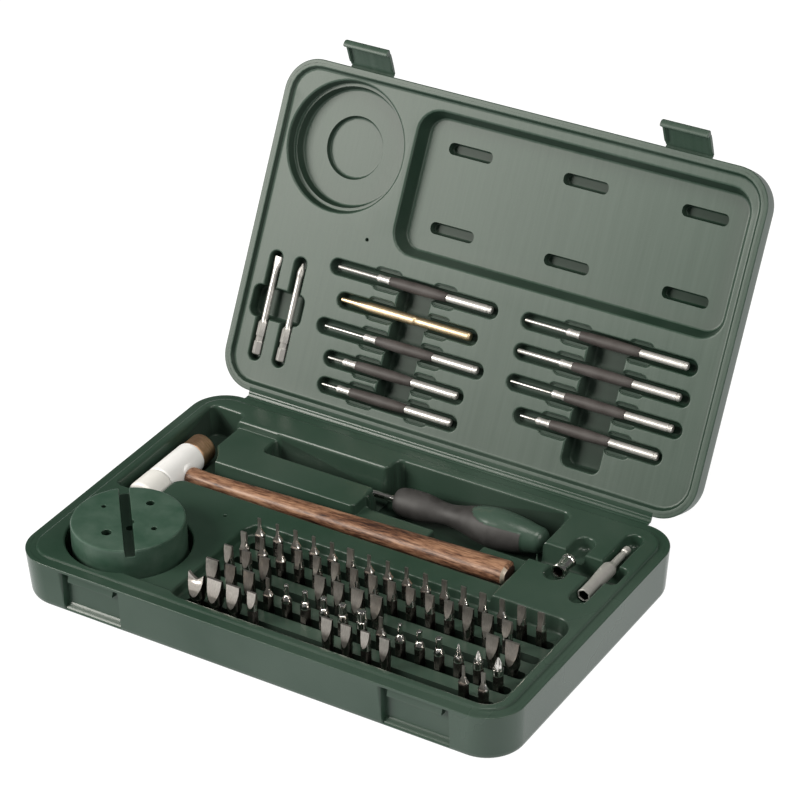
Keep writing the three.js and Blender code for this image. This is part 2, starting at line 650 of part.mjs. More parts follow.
const driver = new THREE.Group();
driver.position.set(DRIVER.x, DRIVER.y, DRIVER.z);
driver.rotation.y = THREE.MathUtils.degToRad(-DRIVER.rise);
driver.add(...driverParts());
kit.add(driver);

const lid = new THREE.Group();
lid.position.set(0, HINGE.y, HINGE.z);
lid.rotation.x = THREE.MathUtils.degToRad(-LID_OPEN);
lid.add(toMesh("lid_outer_wall", lidOuterWall(), GREEN_LID));
lid.add(toMesh("lid_tray", lidTray(), GREEN_LID));
lid.add(toMesh("lid_hinge_leaf", hingeLeaf(LID_BACK + 0.2, -GAP, 0.2), GREEN_LID));
leftPunches().forEach((punch) => lid.add(...punch));
rightPunches().forEach((punch) => lid.add(...punch));
lid.add(toMesh("punch_brass", brassPunch(), BRASS));
lid.add(toMesh("long_bit_slotted", longBit(LONG_BITS.x[0]), DARK_STEEL));
lid.add(toMesh("long_bit_phillips", longBit(LONG_BITS.x[1]), DARK_STEEL));
kit.add(lid);

for (const [name, side] of [["latch_left", -1], ["latch_right", 1]]) {
  const pivot = new THREE.Group();
  pivot.position.set(side * LATCH.x, LATCH_PIVOT.y, LATCH_PIVOT.z);
  pivot.rotation.x = THREE.MathUtils.degToRad(-LATCH.open);
  pivot.add(toMesh(name, latch(), GREEN_LID));
  lid.add(pivot);
}

export default kit;
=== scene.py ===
"""An open gunsmith's tool case: moulded base and lid on a living hinge, and the tools in their pockets."""

import math

import bmesh
import bpy
from mathutils import Matrix, Vector, geometry


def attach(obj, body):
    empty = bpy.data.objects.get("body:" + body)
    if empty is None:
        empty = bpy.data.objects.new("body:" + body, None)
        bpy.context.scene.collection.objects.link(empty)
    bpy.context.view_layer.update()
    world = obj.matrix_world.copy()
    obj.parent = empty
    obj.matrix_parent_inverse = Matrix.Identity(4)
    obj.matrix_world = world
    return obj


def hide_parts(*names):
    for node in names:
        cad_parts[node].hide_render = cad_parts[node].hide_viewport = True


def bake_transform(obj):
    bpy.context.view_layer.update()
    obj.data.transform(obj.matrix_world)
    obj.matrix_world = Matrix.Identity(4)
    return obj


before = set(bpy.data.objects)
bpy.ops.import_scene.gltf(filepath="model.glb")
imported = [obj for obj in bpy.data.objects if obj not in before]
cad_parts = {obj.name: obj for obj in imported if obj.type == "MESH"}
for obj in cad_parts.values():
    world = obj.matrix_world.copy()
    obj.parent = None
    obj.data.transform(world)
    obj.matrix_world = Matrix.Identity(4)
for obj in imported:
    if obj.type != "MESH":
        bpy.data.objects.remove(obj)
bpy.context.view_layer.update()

MM = 0.001

# ---- driving sizes, in millimetres, as the CAD model has them ----

WIDTH = 360.0
DEPTH = 230.0
CORNER = 25.0
RIM_Z = 32.5
DECK_Z = 34.1
LOWER_DECK_Z = 28.7
HINGE_Y = 118.5
HINGE_Z = 32.5
LID_OPEN = 117.67
LID_THICKNESS = 24.0
RIM_GAP = 0.3
LID_BACK = DEPTH / 2 - HINGE_Y
LID_FRONT = LID_BACK - DEPTH

LID_MATRIX = Matrix.Translation((0, HINGE_Y * MM, HINGE_Z * MM)) @ Matrix.Rotation(
    math.radians(-LID_OPEN), 4, "X"
)

# ---- mesh helpers ----


def piece(name, verts, faces, body, material, replaces=(), matrix=None, sharp=35, marks=None):
    """A mesh from points in millimetres, smooth but for its sharp edges, riding on a CAD body.

    material may be a list, with marks as the index for each face.
    """
    mesh = bpy.data.meshes.new(name)
    mesh.from_pydata([Vector(v) * MM for v in verts], [], faces)
    if marks:
        mesh.polygons.foreach_set("material_index", marks)
    face_outwards(mesh)
    return settle(name, mesh, body, material, replaces, matrix, sharp)


def settle(name, mesh, body, material, replaces=(), matrix=None, sharp=35):
    if matrix is not None:
        mesh.transform(matrix)
    mesh.shade_smooth()
    mesh.set_sharp_from_angle(angle=math.radians(sharp))
    for one in material if isinstance(material, list) else [material]:
        mesh.materials.append(one)
    obj = bpy.data.objects.new(name, mesh)
    bpy.context.scene.collection.objects.link(obj)
    if body:
        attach(obj, body)
    if replaces:
        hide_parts(*replaces)
    return obj


def weigh_normals(obj):
    modifier = obj.modifiers.new("even shading", "WEIGHTED_NORMAL")
    modifier.keep_sharp = True
    modifier.weight = 50
    return obj


def face_outwards(mesh):
    work = bmesh.new()
    work.from_mesh(mesh)
    bmesh.ops.remove_doubles(work, verts=work.verts, dist=1e-6)
    if all(len(e.link_faces) == 2 for e in work.edges):
        bmesh.ops.recalc_face_normals(work, faces=work.faces)
    work.to_mesh(mesh)
    work.free()


# ---- outlines, as a signed distance and as a ring of points at an offset ----


class Rect:
    """A rounded rectangle."""

    def __init__(self, x0, x1, y0, y1, radius):
        self.x, self.y = (x0 + x1) / 2, (y0 + y1) / 2
        self.hx, self.hy = (x1 - x0) / 2, (y1 - y0) / 2
        self.radius = min(radius, self.hx, self.hy)

    def distance(self, x, y):
        qx = abs(x - self.x) - self.hx + self.radius
        qy = abs(y - self.y) - self.hy + self.radius
        outside = math.hypot(max(qx, 0), max(qy, 0))
        return outside + min(max(qx, qy), 0) - self.radius

    def ring(self, offset, steps=6):
        hx, hy = self.hx + offset, self.hy + offset
        if min(hx, hy) < 0.2:
            return []
        r = min(max(self.radius + offset, 0), hx, hy)
        points = []
        for cx, cy, turn in ((1, -1, -90), (1, 1, 0), (-1, 1, 90), (-1, -1, 180)):
            count = steps if r > 0.05 else 0
            for i in range(count + 1):
                a = math.radians(turn + (90 * i / count if count else 45))
                corner = (self.x + cx * (hx - r), self.y + cy * (hy - r))
                points.append((corner[0] + r * math.cos(a), corner[1] + r * math.sin(a)))
        return points


class Disc:
    """A circle."""

    def __init__(self, x, y, radius, steps=64):
        self.x, self.y, self.radius, self.steps = x, y, radius, steps
        self.hx, self.hy = radius, radius

    def distance(self, x, y):
        return math.hypot(x - self.x, y - self.y) - self.radius

    def ring(self, offset, steps=0):
        r = self.radius + offset
        if r < 0.2:
            return []
        turns = [2 * math.pi * i / self.steps for i in range(self.steps)]
        return [(self.x + r * math.cos(a), self.y + r * math.sin(a)) for a in turns]


class Meet:
    """What several outlines share, as a star shape about a point inside it."""

    def __init__(self, x, y, *shapes, steps=96):
        self.x, self.y, self.shapes, self.steps = x, y, shapes, steps

    def distance(self, x, y):
        return max(shape.distance(x, y) for shape in self.shapes)

    def ring(self, offset, steps=0):
        points = []
        for i in range(self.steps):
            a = 2 * math.pi * i / self.steps
            near, far = 0.0, 80.0
            for _ in range(30):
                middle = (near + far) / 2
                inside = self.distance(self.x + middle * math.cos(a), self.y + middle * math.sin(a)) < offset
                near, far = (middle, far) if inside else (near, middle)
            points.append((self.x + near * math.cos(a), self.y + near * math.sin(a)))
        return points


class Outside:
    """All that lies outside a circle."""

    def __init__(self, x, y, radius):
        self.x, self.y, self.radius = x, y, radius

    def distance(self, x, y):
        return self.radius - math.hypot(x - self.x, y - self.y)


def corner(x, y, side_x, side_y, radius, floor):
    """Rounds in plan the corner at (x, y) of a mass that lies towards the given sides of it."""
    x1, y1 = x + side_x * radius, y + side_y * radius
    x0, y0 = x - side_x * 1.2, y - side_y * 1.2
    box = Rect(min(x0, x1), max(x0, x1), min(y0, y1), max(y0, y1), 0.1)
    middle = (x - side_x * 0.4, y - side_y * 0.4)
    return Sunk(Meet(*middle, box, Outside(x1, y1, radius), steps=48), floor, 1.2, 1.2, 0.5)


# ---- a moulded face: a sheet with pockets sunk in it, each with soft edges ----

ROUND = [1 - math.sin(math.radians(a)) for a in (0, 22.5, 45, 67.5, 90)]


class Sunk:
    """A pocket or a step down: its outline, floor height, edge and foot radius, and draft."""

    def __init__(self, shape, floor, edge=1.6, foot=1.6, draft=0.5, step=False):
        self.shape, self.floor, self.edge, self.foot, self.draft = shape, floor, edge, foot, draft
        self.step = step

    def height(self, x, y, level):
        d = self.shape.distance(x, y)
        drop = level - self.floor
        if drop <= 0 or d >= self.edge:
            return level
        edge = min(self.edge, drop / 2)
        foot = min(self.foot, drop / 2)
        if d > 0:
            run = 1 - d / self.edge
            return level - edge * (1 - math.sqrt(max(1 - run * run, 0)))
        if d > -self.draft:
            return level - edge + (self.floor + foot - level + edge) * (-d / self.draft)
        if d > -self.draft - self.foot:
            run = 1 - (-d - self.draft) / self.foot
            return self.floor + foot * (1 - math.sqrt(max(1 - run * run, 0)))
        return self.floor

    def offsets(self):
        outer = [self.edge * r for r in ROUND]
        inner = [-self.draft - self.foot * r for r in ROUND]
        return outer + inner


def relief(boundary, level, sunk, raised=(), trim=False):
    """Points and triangles of a moulded face within a convex boundary.

    Outlines that cross the boundary are pulled in, or with trim are cut off by it.
    """
    points, edges = [], []

    def add_ring(ring):
        if not ring:
            return
        first = len(points)
        points.extend(Vector(p) for p in ring)
        count = len(ring)
        edges.extend((first + i, first + (i + 1) % count) for i in range(count))

    add_ring(boundary.ring(0, 16))
    limit = boundary
    for hollow in [*raised, *sunk]:
        for offset in hollow.offsets():
            ring = hollow.shape.ring(offset)
            if not trim and any(limit.distance(*p) > -0.01 for p in ring):
                ring = [pull_in(limit, p) for p in ring]
            add_ring(ring)
    flat = geometry.delaunay_2d_cdt(points, edges, [], 0, 1e-4, False)
    verts = []
    for v in flat[0]:
        z = level
        for bump in raised:
            z = bump.height(v.x, v.y, z)
        steps = [s for s in sunk if s.step]
        for s in steps:
            z = s.height(v.x, v.y, z)
        base = z
        for s in sunk:
            if not s.step:
                z = min(z, s.height(v.x, v.y, base))
        verts.append((v.x, v.y, z))
    faces = [tuple(f) for f in flat[2]]
    if trim:
        faces = [f for f in faces if boundary.distance(*middle_of(verts, f)) < 0]
    return verts, faces


def middle_of(verts, face):
    return tuple(sum(verts[i][k] for i in face) / len(face) for k in (0, 1))


def pull_in(limit, p):
    """Moves a point inside the boundary."""
    x, y = p
    for _ in range(40):
        if limit.distance(x, y) <= -0.02:
            break
        x += (limit.x - x) * 0.01
        y += (limit.y - y) * 0.01
    return (x, y)


class Raised:
    """A plateau that stands above its surroundings, with a soft edge."""

    def __init__(self, shape, top, edge=1.6):
        self.shape, self.top, self.edge = shape, top, edge

    def height(self, x, y, level):
        d = self.shape.distance(x, y)
        if d >= 0:
            return level
        if d < -self.edge:
            return self.top
        run = 1 + d / self.edge
        rise = self.top - level
        return level + rise * math.sqrt(max(1 - run * run, 0))

    def offsets(self):
        return [-self.edge * (1 - r) for r in ROUND]


# ---- sweeps and turned shapes ----


def sweep(rings, closed_start=False, closed_end=False):
    """Quads between rings with the same number of points."""
    verts, faces = [], []
    n = len(rings[0])
    for ring in rings:
        verts.extend(ring)
    for k in range(len(rings) - 1):
        for i in range(n):
            j = (i + 1) % n
            faces.append((k * n + i, k * n + j, (k + 1) * n + j, (k + 1) * n + i))
    if closed_start:
        faces.append(tuple(range(n - 1, -1, -1)))
    if closed_end:
        faces.append(tuple(range((len(rings) - 1) * n, len(rings) * n)))
    return verts, faces


def turned(profile, segments=40):
    """A solid of revolution about the X axis from (along, radius) pairs."""
    rings = []
    for along, radius in profile:
        r = max(radius, 0.01)
        turn = [2 * math.pi * i / segments for i in range(segments)]
        rings.append([(along, r * math.cos(a), r * math.sin(a)) for a in turn])
    return sweep(rings, True, True)


def along_y(verts, x, z):
    """Turns a shape that lies along X so that it lies along Y at the given x and z."""
    return [(x - v[1], v[0], z + v[2]) for v in verts]


def soften(profile, radius=0.6, steps=3):
    """Rounds the corners of a profile."""
    out = [profile[0]]
    for before, here, after in zip(profile, profile[1:], profile[2:]):
        p, q, r = Vector(before), Vector(here), Vector(after)
        a = q + (p - q).normalized() * min(radius, (p - q).length * 0.45)
        b = q + (r - q).normalized() * min(radius, (r - q).length * 0.45)
        for k in range(steps + 1):
            t = k / steps
            out.append(tuple(a * (1 - t) ** 2 + q * 2 * t * (1 - t) + b * t * t))
    out.append(profile[-1])
    return out


def hex_radius(angle, flat):
    """The radius at an angle of a hexagon with that distance from its middle to a flat."""
    return flat / math.cos((angle + math.pi / 6) % (math.pi / 3) - math.pi / 6)


class Lot:
    """Several closed shapes gathered into one mesh, with a material index for each face."""

    def __init__(self):
        self.verts, self.faces, self.marks = [], [], []

    def add(self, verts, faces, marks=0):
        first = len(self.verts)
        self.verts += verts
        self.faces += [tuple(first + i for i in f) for f in faces]
        self.marks += marks if isinstance(marks, list) else [marks] * len(faces)


# ---- materials ----


class Nodes:
    """A short way to wire a procedural material."""

    def __init__(self, name):
        self.material = bpy.data.materials.new(name)
        self.material.use_nodes = True
        self.tree = self.material.node_tree
        self.shader = self.tree.nodes["Principled BSDF"]
        self.coord = self.tree.nodes.new("ShaderNodeTexCoord")

    def node(self, kind, **settings):
        made = self.tree.nodes.new("ShaderNode" + kind)
        for key, value in settings.items():
            if key in made.inputs:
                made.inputs[key].default_value = value
            else:
                setattr(made, key, value)
        return made

    def link(self, a, b):
        self.tree.links.new(a, b)

    def place(self, scale=(1, 1, 1), rotation=(0, 0, 0)):
        mapping = self.node("Mapping")
        mapping.inputs["Scale"].default_value = scale
        mapping.inputs["Rotation"].default_value = rotation
        self.link(self.coord.outputs["Object"], mapping.inputs["Vector"])
        return mapping.outputs["Vector"]

    def noise(self, vector, scale, detail=3.0, roughness=0.5):
        made = self.node("TexNoise", Scale=scale, Detail=detail, Roughness=roughness)
        self.link(vector, made.inputs["Vector"])
        return made.outputs["Fac"]

    def ramp(self, fac, stops):
        made = self.node("ValToRGB")
        elements = made.color_ramp.elements
        while len(elements) < len(stops):
            elements.new(0.5)
        for element, (position, color) in zip(elements, stops):
            element.position = position
            element.color = (*color, 1)
        self.link(fac, made.inputs["Fac"])
        return made.outputs["Color"]

    def span(self, fac, low, high):
        made = self.node("MapRange")
        made.inputs["To Min"].default_value = low
        made.inputs["To Max"].default_value = high
        self.link(fac, made.inputs["Value"])
        return made.outputs["Result"]

    def bump(self, fac, strength, distance):
        made = self.node("Bump", Strength=strength, Distance=distance)
        self.link(fac, made.inputs["Height"])
        self.link(made.outputs["Normal"], self.shader.inputs["Normal"])

    def set(self, **values):
        for key, value in values.items():
            self.shader.inputs[key.replace("_", " ")].default_value = value


def mixed(a, b, t):
    return tuple(x + (y - x) * t for x, y in zip(a, b))


def plastic(name, color, streaks=0.0, roughness=(0.32, 0.42), grain=0.06, scale=9, gloss=0.5):
    """Blow-moulded plastic: mottled colour, fine grain, and faint drawn streaks on a large face."""
    m = Nodes(name)
    where = m.place()
    cloud = m.noise(where, scale, 4)
    if streaks:
        drawn = m.noise(m.place((260, 9, 9)), 1.0, 4, 0.65)
        blend = m.node("Mix", data_type="FLOAT")
        blend.inputs["Factor"].default_value = streaks
        m.link(cloud, blend.inputs["A"])
        m.link(drawn, blend.inputs["B"])
        cloud = blend.outputs["Result"]
    dark, light = mixed(color, (0, 0, 0), 0.14), mixed(color, (1, 1, 1), 0.025)
    m.link(m.ramp(cloud, [(0.3, dark), (0.7, light)]), m.shader.inputs["Base Color"])
    m.link(m.span(cloud, *roughness), m.shader.inputs["Roughness"])
    m.set(Specular_IOR_Level=gloss)
    m.bump(m.noise(where, 1400, 2), grain, 0.0004)
    return m.material


GREEN = (0.019, 0.048, 0.030)
BASE_GREEN = plastic("moulded_green_base", GREEN, roughness=(0.22, 0.30), grain=0.03, gloss=0.36)
LID_GREEN = plastic("moulded_green_lid", GREEN, streaks=0.6, roughness=(0.38, 0.5), grain=0.1)
# A darker, smoother copy of the green that deep pockets, slots and walls take: painted shade.
PAINTED_SHADE_GREEN = plastic(
    "painted_shade_green", mixed(GREEN, (0, 0, 0), 0.35), roughness=(0.3, 0.4), grain=0.02, gloss=0.14
)
BLOCK_GREEN = plastic(
    "cast_green_block", (0.034, 0.078, 0.052), roughness=(0.25, 0.45), scale=70, gloss=0.4
)


def metal(name, color, roughness, brushed=(1, 1, 1), scale=220, bump=0.01, metallic=1.0, depth=0.1):
    """Turned or ground metal: its marks run along the axis with the small scale."""
    m = Nodes(name)
    marks = m.noise(m.place(brushed), scale, 4, 0.6)
    dark, light = mixed(color, (0, 0, 0), depth), mixed(color, (1, 1, 1), depth / 3)
    m.link(m.ramp(marks, [(0.3, dark), (0.7, light)]), m.shader.inputs["Base Color"])
    m.link(m.span(marks, *roughness), m.shader.inputs["Roughness"])
    m.set(Metallic=metallic)
    m.bump(marks, bump, 0.0003)
    return m.material


CHROME = metal("bright_steel", (0.78, 0.76, 0.73), (0.14, 0.2), bump=0.004)
SATIN_STEEL = metal("satin_steel", (0.74, 0.72, 0.69), (0.28, 0.36), bump=0.004, metallic=0.7)
GROUND_STEEL = metal("ground_steel", (0.56, 0.52, 0.48), (0.3, 0.42), (14, 14, 1), 120, 0.05, depth=0.25)
BLACK_STEEL = metal("blackened_steel", (0.13, 0.115, 0.105), (0.22, 0.32), (1, 1, 0.2), 200, 0.02)
# Near-black steel for the inside of the hex sockets: painted shade in the bore.
SOCKET_PAINTED_SHADE = metal("socket_painted_shade", (0.04, 0.035, 0.03), (0.35, 0.5))
BRASS = metal("turned_brass", (0.78, 0.60, 0.38), (0.36, 0.46), (6, 1, 1), bump=0.02)
COPPER = metal("copper_face", (0.74, 0.44, 0.25), (0.38, 0.5), (1, 5, 1), bump=0.03, depth=0.3)
WHITE_METAL = metal(
    "white_metal", (0.92, 0.92, 0.92), (0.35, 0.5), scale=60, bump=0.02, metallic=0.05, depth=0.06
)


def rubber(name, color):
    m = Nodes(name)
    where = m.place()
    cloud = m.noise(where, 60, 4)
    m.link(
        m.ramp(cloud, [(0.3, mixed(color, (0, 0, 0), 0.2)), (0.7, mixed(color, (1, 1, 1), 0.03))]),
        m.shader.inputs["Base Color"],
    )
    m.link(m.span(cloud, 0.5, 0.66), m.shader.inputs["Roughness"])
    m.bump(m.noise(where, 2200, 2), 0.15, 0.0003)
    return m.material


RUBBER = rubber("grey_rubber", (0.022, 0.020, 0.019))
SLEEVE = rubber("sleeve_rubber", (0.042, 0.034, 0.031))
NYLON = plastic("white_nylon", (0.86, 0.85, 0.82), roughness=(0.35, 0.45))
DRIVER_GREEN = plastic("driver_green", (0.026, 0.060, 0.040), roughness=(0.28, 0.34), grain=0.02)


def wood(name):
    """Varnished hardwood with dark pores along X."""
    m = Nodes(name)
    grain = m.noise(m.place((16, 90, 90)), 1.0, 5, 0.6)
    streaks = m.noise(m.place((110, 850, 850)), 1.0, 4, 0.65)
    blend = m.node("Mix", data_type="FLOAT")
    blend.inputs["Factor"].default_value = 0.5
    m.link(grain, blend.inputs["A"])
    m.link(streaks, blend.inputs["B"])
    fac = blend.outputs["Result"]
    stops = [(0.42, (0.03, 0.012, 0.008)), (0.49, (0.14, 0.063, 0.034)), (0.61, (0.36, 0.20, 0.12))]
    m.link(m.ramp(fac, stops), m.shader.inputs["Base Color"])
    m.link(m.span(fac, 0.55, 0.38), m.shader.inputs["Roughness"])
    m.bump(fac, 0.06, 0.0004)
    return m.material


WOOD = wood("varnished_wood")
# A light, glossy colour on one side of the grip's end chamfer: a painted highlight.
PAINTED_HIGHLIGHT_EDGE = plastic("painted_highlight_edge", (0.62, 0.52, 0.42), roughness=(0.12, 0.2), grain=0.02)
END_GRAIN = plastic("end_grain", (0.035, 0.014, 0.008), roughness=(0.4, 0.5), grain=0.2)

# ---- base ----

TRAY_INSET = 6.8
PAINTED_SHADE_Z = 20.0  # deeper faces of the base are smooth and darker: painted shade in the pockets


def inset_rect(inset, corner=CORNER, back=0.0):
    hx, hy = WIDTH / 2 - inset, DEPTH / 2 - inset
    return Rect(-hx, hx, -hy + back, hy + back, max(corner - inset, 0.5))


BIT_X = 48.3
BIT_PITCH = 13.65
BIT_ROW_Y = [-18, -35.6, -53.1, -70.7, -88.2]


def base_pockets():
    slots = [
        Sunk(Rect(BIT_X - 110.5, BIT_X + 110.5, y - 3.7, y + 3.7, 3), 12.5, 0.8, 1, 0.3)
        for y in BIT_ROW_Y
    ]
    return [
        Sunk(Rect(-143, 107, -98, 86.4, 4), LOWER_DECK_Z, 2.2, 0.5, 0.6, step=True),
        Sunk(Rect(-22.5, 106.9, 43, 58.5, 1), 20.6, 0.8, 0.8, 0.3, step=True),
        Sunk(Rect(-167, -141, -16.5, 95.5, 5), 10.6, 2.4),
        Sunk(Rect(-147, 106.8, 15.3, 43.9, 3), 16.8, 1.8),
        corner(-141, 15.3, 1, -1, 10, 16.8),
        Sunk(Meet(-143, 38, Disc(-175, 30, 46.3), Rect(-150, -120, 15.3, 63, 0.5)), 16.8, 1.8),
        Sunk(Disc(-88.7, -6.6, 1.0, 20), 20, 1.0, 0.6, 0.2),
        Sunk(Rect(-109.8, -20, 69.7, 86.4, 4), 8.2, 1.8),
        Sunk(Rect(-22.5, 107, 57.6, 100, 5.4), 5, 2.2, 2.5),
        Sunk(Rect(30.6, 66.6, 40, 62, 4), 8, 1.8),
        corner(-22.5, 43.9, -1, 1, 4, 20.6),
        corner(-22.5, 69.7, -1, -1, 3, 20.6),
        corner(30.6, 43.9, -1, 1, 3, 16.8),
        corner(30.6, 57.6, -1, -1, 3, 8),
        corner(66.6, 43.9, 1, 1, 3, 16.8),
        corner(66.6, 57.6, 1, -1, 3, 8),
        corner(-22.5, 86.4, -1, 1, 4, 8.2),
        Sunk(Disc(-124, -63.2, 40.6, 96), 9.8, 1.4),
        Sunk(Rect(-69.8, 166.5, -102.2, -3.8, 12), 21.7, 1.8, 2),
        Sunk(Rect(123.3, 136.8, 29.7, 81, 6.7), 25.4, 1.6, 3),
        Sunk(Rect(149.4, 161.1, 15.3, 99, 5.8), 25.4, 1.6, 3),
        Sunk(Rect(105, 168.3, 43.2, 63, 4), 18.8, 1.6, 2),
        *slots,
    ]


def base_tray():
    deck = Raised(inset_rect(TRAY_INSET), DECK_Z, 1.8)
    verts, faces = relief(inset_rect(3), RIM_Z, base_pockets(), [deck])
    # faces low in the pockets take the darker green: painted shade
    marks = [1 if sum(verts[i][2] for i in f) / len(f) < PAINTED_SHADE_Z else 0 for f in faces]
    looks = [BASE_GREEN, PAINTED_SHADE_GREEN]
    made = piece("deck_and_pockets", verts, faces, "base", looks, ["base_tray"], marks=marks)
    return weigh_normals(made)


def wall_ring(inset, z, corner, stations=()):
    """A ring round the case wall, with extra points along the front at the given stations."""
    hx, hy = WIDTH / 2 - inset, DEPTH / 2 - inset
    r = max(corner, 1)
    points = []
    for x in stations:
        points.append((x, -hy, z))
    for cx, cy, turn in ((1, -1, -90), (1, 1, 0), (-1, 1, 90), (-1, -1, 180)):
        for i in range(17):
            a = math.radians(turn + 90 * i / 16)
            points.append((cx * (hx - r) + r * math.cos(a), cy * (hy - r) + r * math.sin(a), z))
    return points


RECESSES = [(-139.5, -96.3), (95.4, 142.2)]
RECESS_FLOOR_Y = -108.9
RECESS_TOP = 30.6
RECESS_FOOT = 1.6
RECESS_ROUND = 3.6


def recess_depth(x):
    """How far the front wall is pushed in at x, in millimetres."""
    full = RECESS_FLOOR_Y + DEPTH / 2
    for x0, x1 in RECESSES:
        if x0 - RECESS_ROUND <= x <= x0:
            run = (x - x0 + RECESS_ROUND) / RECESS_ROUND
            return RECESS_ROUND * (1 - math.sqrt(1 - run * run))
        if x0 < x < x1:
            return full * ease((x1 - x) / 0.5)
    return 0.0


def ease(t):
    t = min(max(t, 0), 1)
    return t * t * (3 - 2 * t)


def front_stations():
    stations = []
    for x0, x1 in RECESSES:
        stations += [x0 - RECESS_ROUND * math.cos(math.radians(90 * k / 8)) for k in range(9)]
        stations += [x0 + 0.05, x0 + 1, x0 + 8, (x0 + x1) / 2, x1 - 6, x1 - 1]
        stations += [x1 - 0.5 + 0.5 * k / 4 for k in range(5)]
    return sorted(stations)


def base_shell():
    draft, edge, lip = 1.7, 3.0, 0.6
    profile = []
    for k in range(9):
        a = math.radians(90 * k / 8)
        profile.append((draft + edge * (1 - math.sin(a)), edge * (1 - math.cos(a))))
    for z in [3.4, 4, 4.6, 5.2, 5.8, 6.4, 7, 8, 12, 16, 20, 24, 27, 29, 29.7, 29.9, 30.1, 30.3, 30.6, 31.2]:
        profile.append((draft * (1 - z / RIM_Z), z))
    for k in range(5):
        a = math.radians(90 * k / 4)
        profile.append((lip * (1 - math.cos(a)), RIM_Z - lip + lip * math.sin(a)))
    profile += [(3.2, RIM_Z), (4, RIM_Z - 1)]
    stations = front_stations()
    rings = []
    for inset, z in profile:
        corner = CORNER - inset + 2 * (1 - z / RIM_Z)
        ring = wall_ring(inset, z, corner, stations)
        share = ease((RECESS_TOP - z) / 0.7) * ease((z - RECESS_FOOT) / 5.4)
        for i, (x, y, _) in enumerate(ring[: len(stations)]):
            inside = recess_depth(x)
            if share * inside > 0:
                ring[i] = (x, max(y, y + (inside - DEPTH / 2 - y) * share), z)
        rings.append(ring)
    verts, faces = sweep(rings, closed_start=True)
    made = piece("outer_shell", verts, faces, "base", BASE_GREEN, ["base_outer_wall"])
    return weigh_normals(made)


def catches():
    for name, (x0, x1) in zip(("catch_left", "catch_right"), RECESSES):
        a, b = x0 + 3, x1 - 6
        section = [
            (RECESS_FLOOR_Y + 0.6, 31),
            (RECESS_FLOOR_Y - 1.6, 30.6),
            (RECESS_FLOOR_Y - 4.0, 24.4),
            (RECESS_FLOOR_Y - 3.8, 23.5),
            (RECESS_FLOOR_Y + 0.6, 23.0),
        ]
        rings = [[(x, y, z) for y, z in section] for x in (a, b)]
        verts, faces = sweep(rings, True, True)
        piece(name, verts, faces, "base", BASE_GREEN)


# ---- lid, in its closed frame on the hinge line ----


def lid_rect(inset, corner=CORNER):
    hx = WIDTH / 2 - inset
    return Rect(-hx, hx, LID_FRONT + inset, LID_BACK - inset, max(corner - inset, 0.5))


LEFT_Y = [-101.5, -80.8, -60.5, -40.5, -22]
RIGHT_Y = [-101.8, -81.2, -60.5, -40.6]
LEFT_ENDS = [(-115.9, 12.8), (-105.1, 2.9), (-115.9, 12.8), (-105.1, 2.9), (-105.1, 2.9)]
RIGHT_ENDS = [(31.2, 158.6), (31.2, 158.6), (31.2, 158.6), (41.6, 149.6)]
LEFT_CHANNEL = (-61, -36.7)
RIGHT_CHANNEL = (82, 109)
LONG_BIT_X = [-158.2, -138.9]
PUNCH_Z = 6.0


def punch_pockets(ends, ys, channel):
    pockets = []
    for (x0, x1), y in zip(ends, ys):
        pockets.append(Sunk(Rect(x0, x1, y - 5.2, y + 5.2, 5.2), PUNCH_Z + 4.3, 1.2, 3, 0.4))
        for a, b in ((channel[0] - 21, channel[0]), (channel[1], channel[1] + 18)):
            pockets.append(Sunk(Rect(a, b, y - 7.6, y + 7.6, 4), 5.2, 1.0, 1.4, 0.4))
    return pockets


def lid_pockets():
    bits = [Sunk(Rect(x - 4.6, x + 4.6, -100.5, -24.1, 4.6), 10.4, 1.2, 2.5, 0.4) for x in LONG_BIT_X]
    slots = [
        Sunk(Rect(x - 16.5, x + 16.5, y - 4, y + 4, 3.5), 20.2, 1.0, 1.2, 0.4)
        for x in (-38.5, 47.9, 134.3)
        for y in (-197.1, -143.1)
    ]
    return [
        *punch_pockets(LEFT_ENDS, LEFT_Y, LEFT_CHANNEL),
        *punch_pockets(RIGHT_ENDS, RIGHT_Y, RIGHT_CHANNEL),
        *bits,
        Sunk(Rect(*LEFT_CHANNEL, -101.5, -22, 3), 15, 1.4, 2, 0.5),
        Sunk(Rect(*RIGHT_CHANNEL, -101.8, -18, 5), 15, 1.4, 2, 0.5),
        Sunk(Rect(-169.5, -129.4, -75.4, -53.8, 5), 13, 1.2, 2, 0.4),
        Sunk(Disc(-125.8, -180.6, 44, 96), 10, 1.8, 1.0, 0.5),
        Sunk(Disc(-125.8, -180.6, 41, 96), 16.7, 0.4, 2, 1.0),
        Sunk(Disc(-125.8, -180.6, 21.6, 72), 20.3, 1.4, 1.6, 0.6),
        Sunk(Rect(-74.6, 167.7, -219, -122.3, 15), 14.2, 2.2, 2.4, 2.6),
        Sunk(Disc(-93.6, -124.2, 1.0, 20), 20, 0.5, 0.5, 0.2),
        *slots,
    ]


def turn_over(pockets):
    """Heights in the lid run the other way: a deeper floor is a larger z."""
    for p in pockets:
        p.floor = -p.floor
    return pockets


def painted_shade_face(verts, face, pockets):
    """Walls and small pockets take the smoother, darker green, a painted shade, and the broad faces are
    textured.
    """
    a, b, c = (Vector(verts[i]) for i in face[:3])
    if abs((b - a).cross(c - a).normalized().z) < 0.8:
        return True
    x, y = middle_of(verts, face)
    return any(p.shape.distance(x, y) < 0.1 for p in pockets)


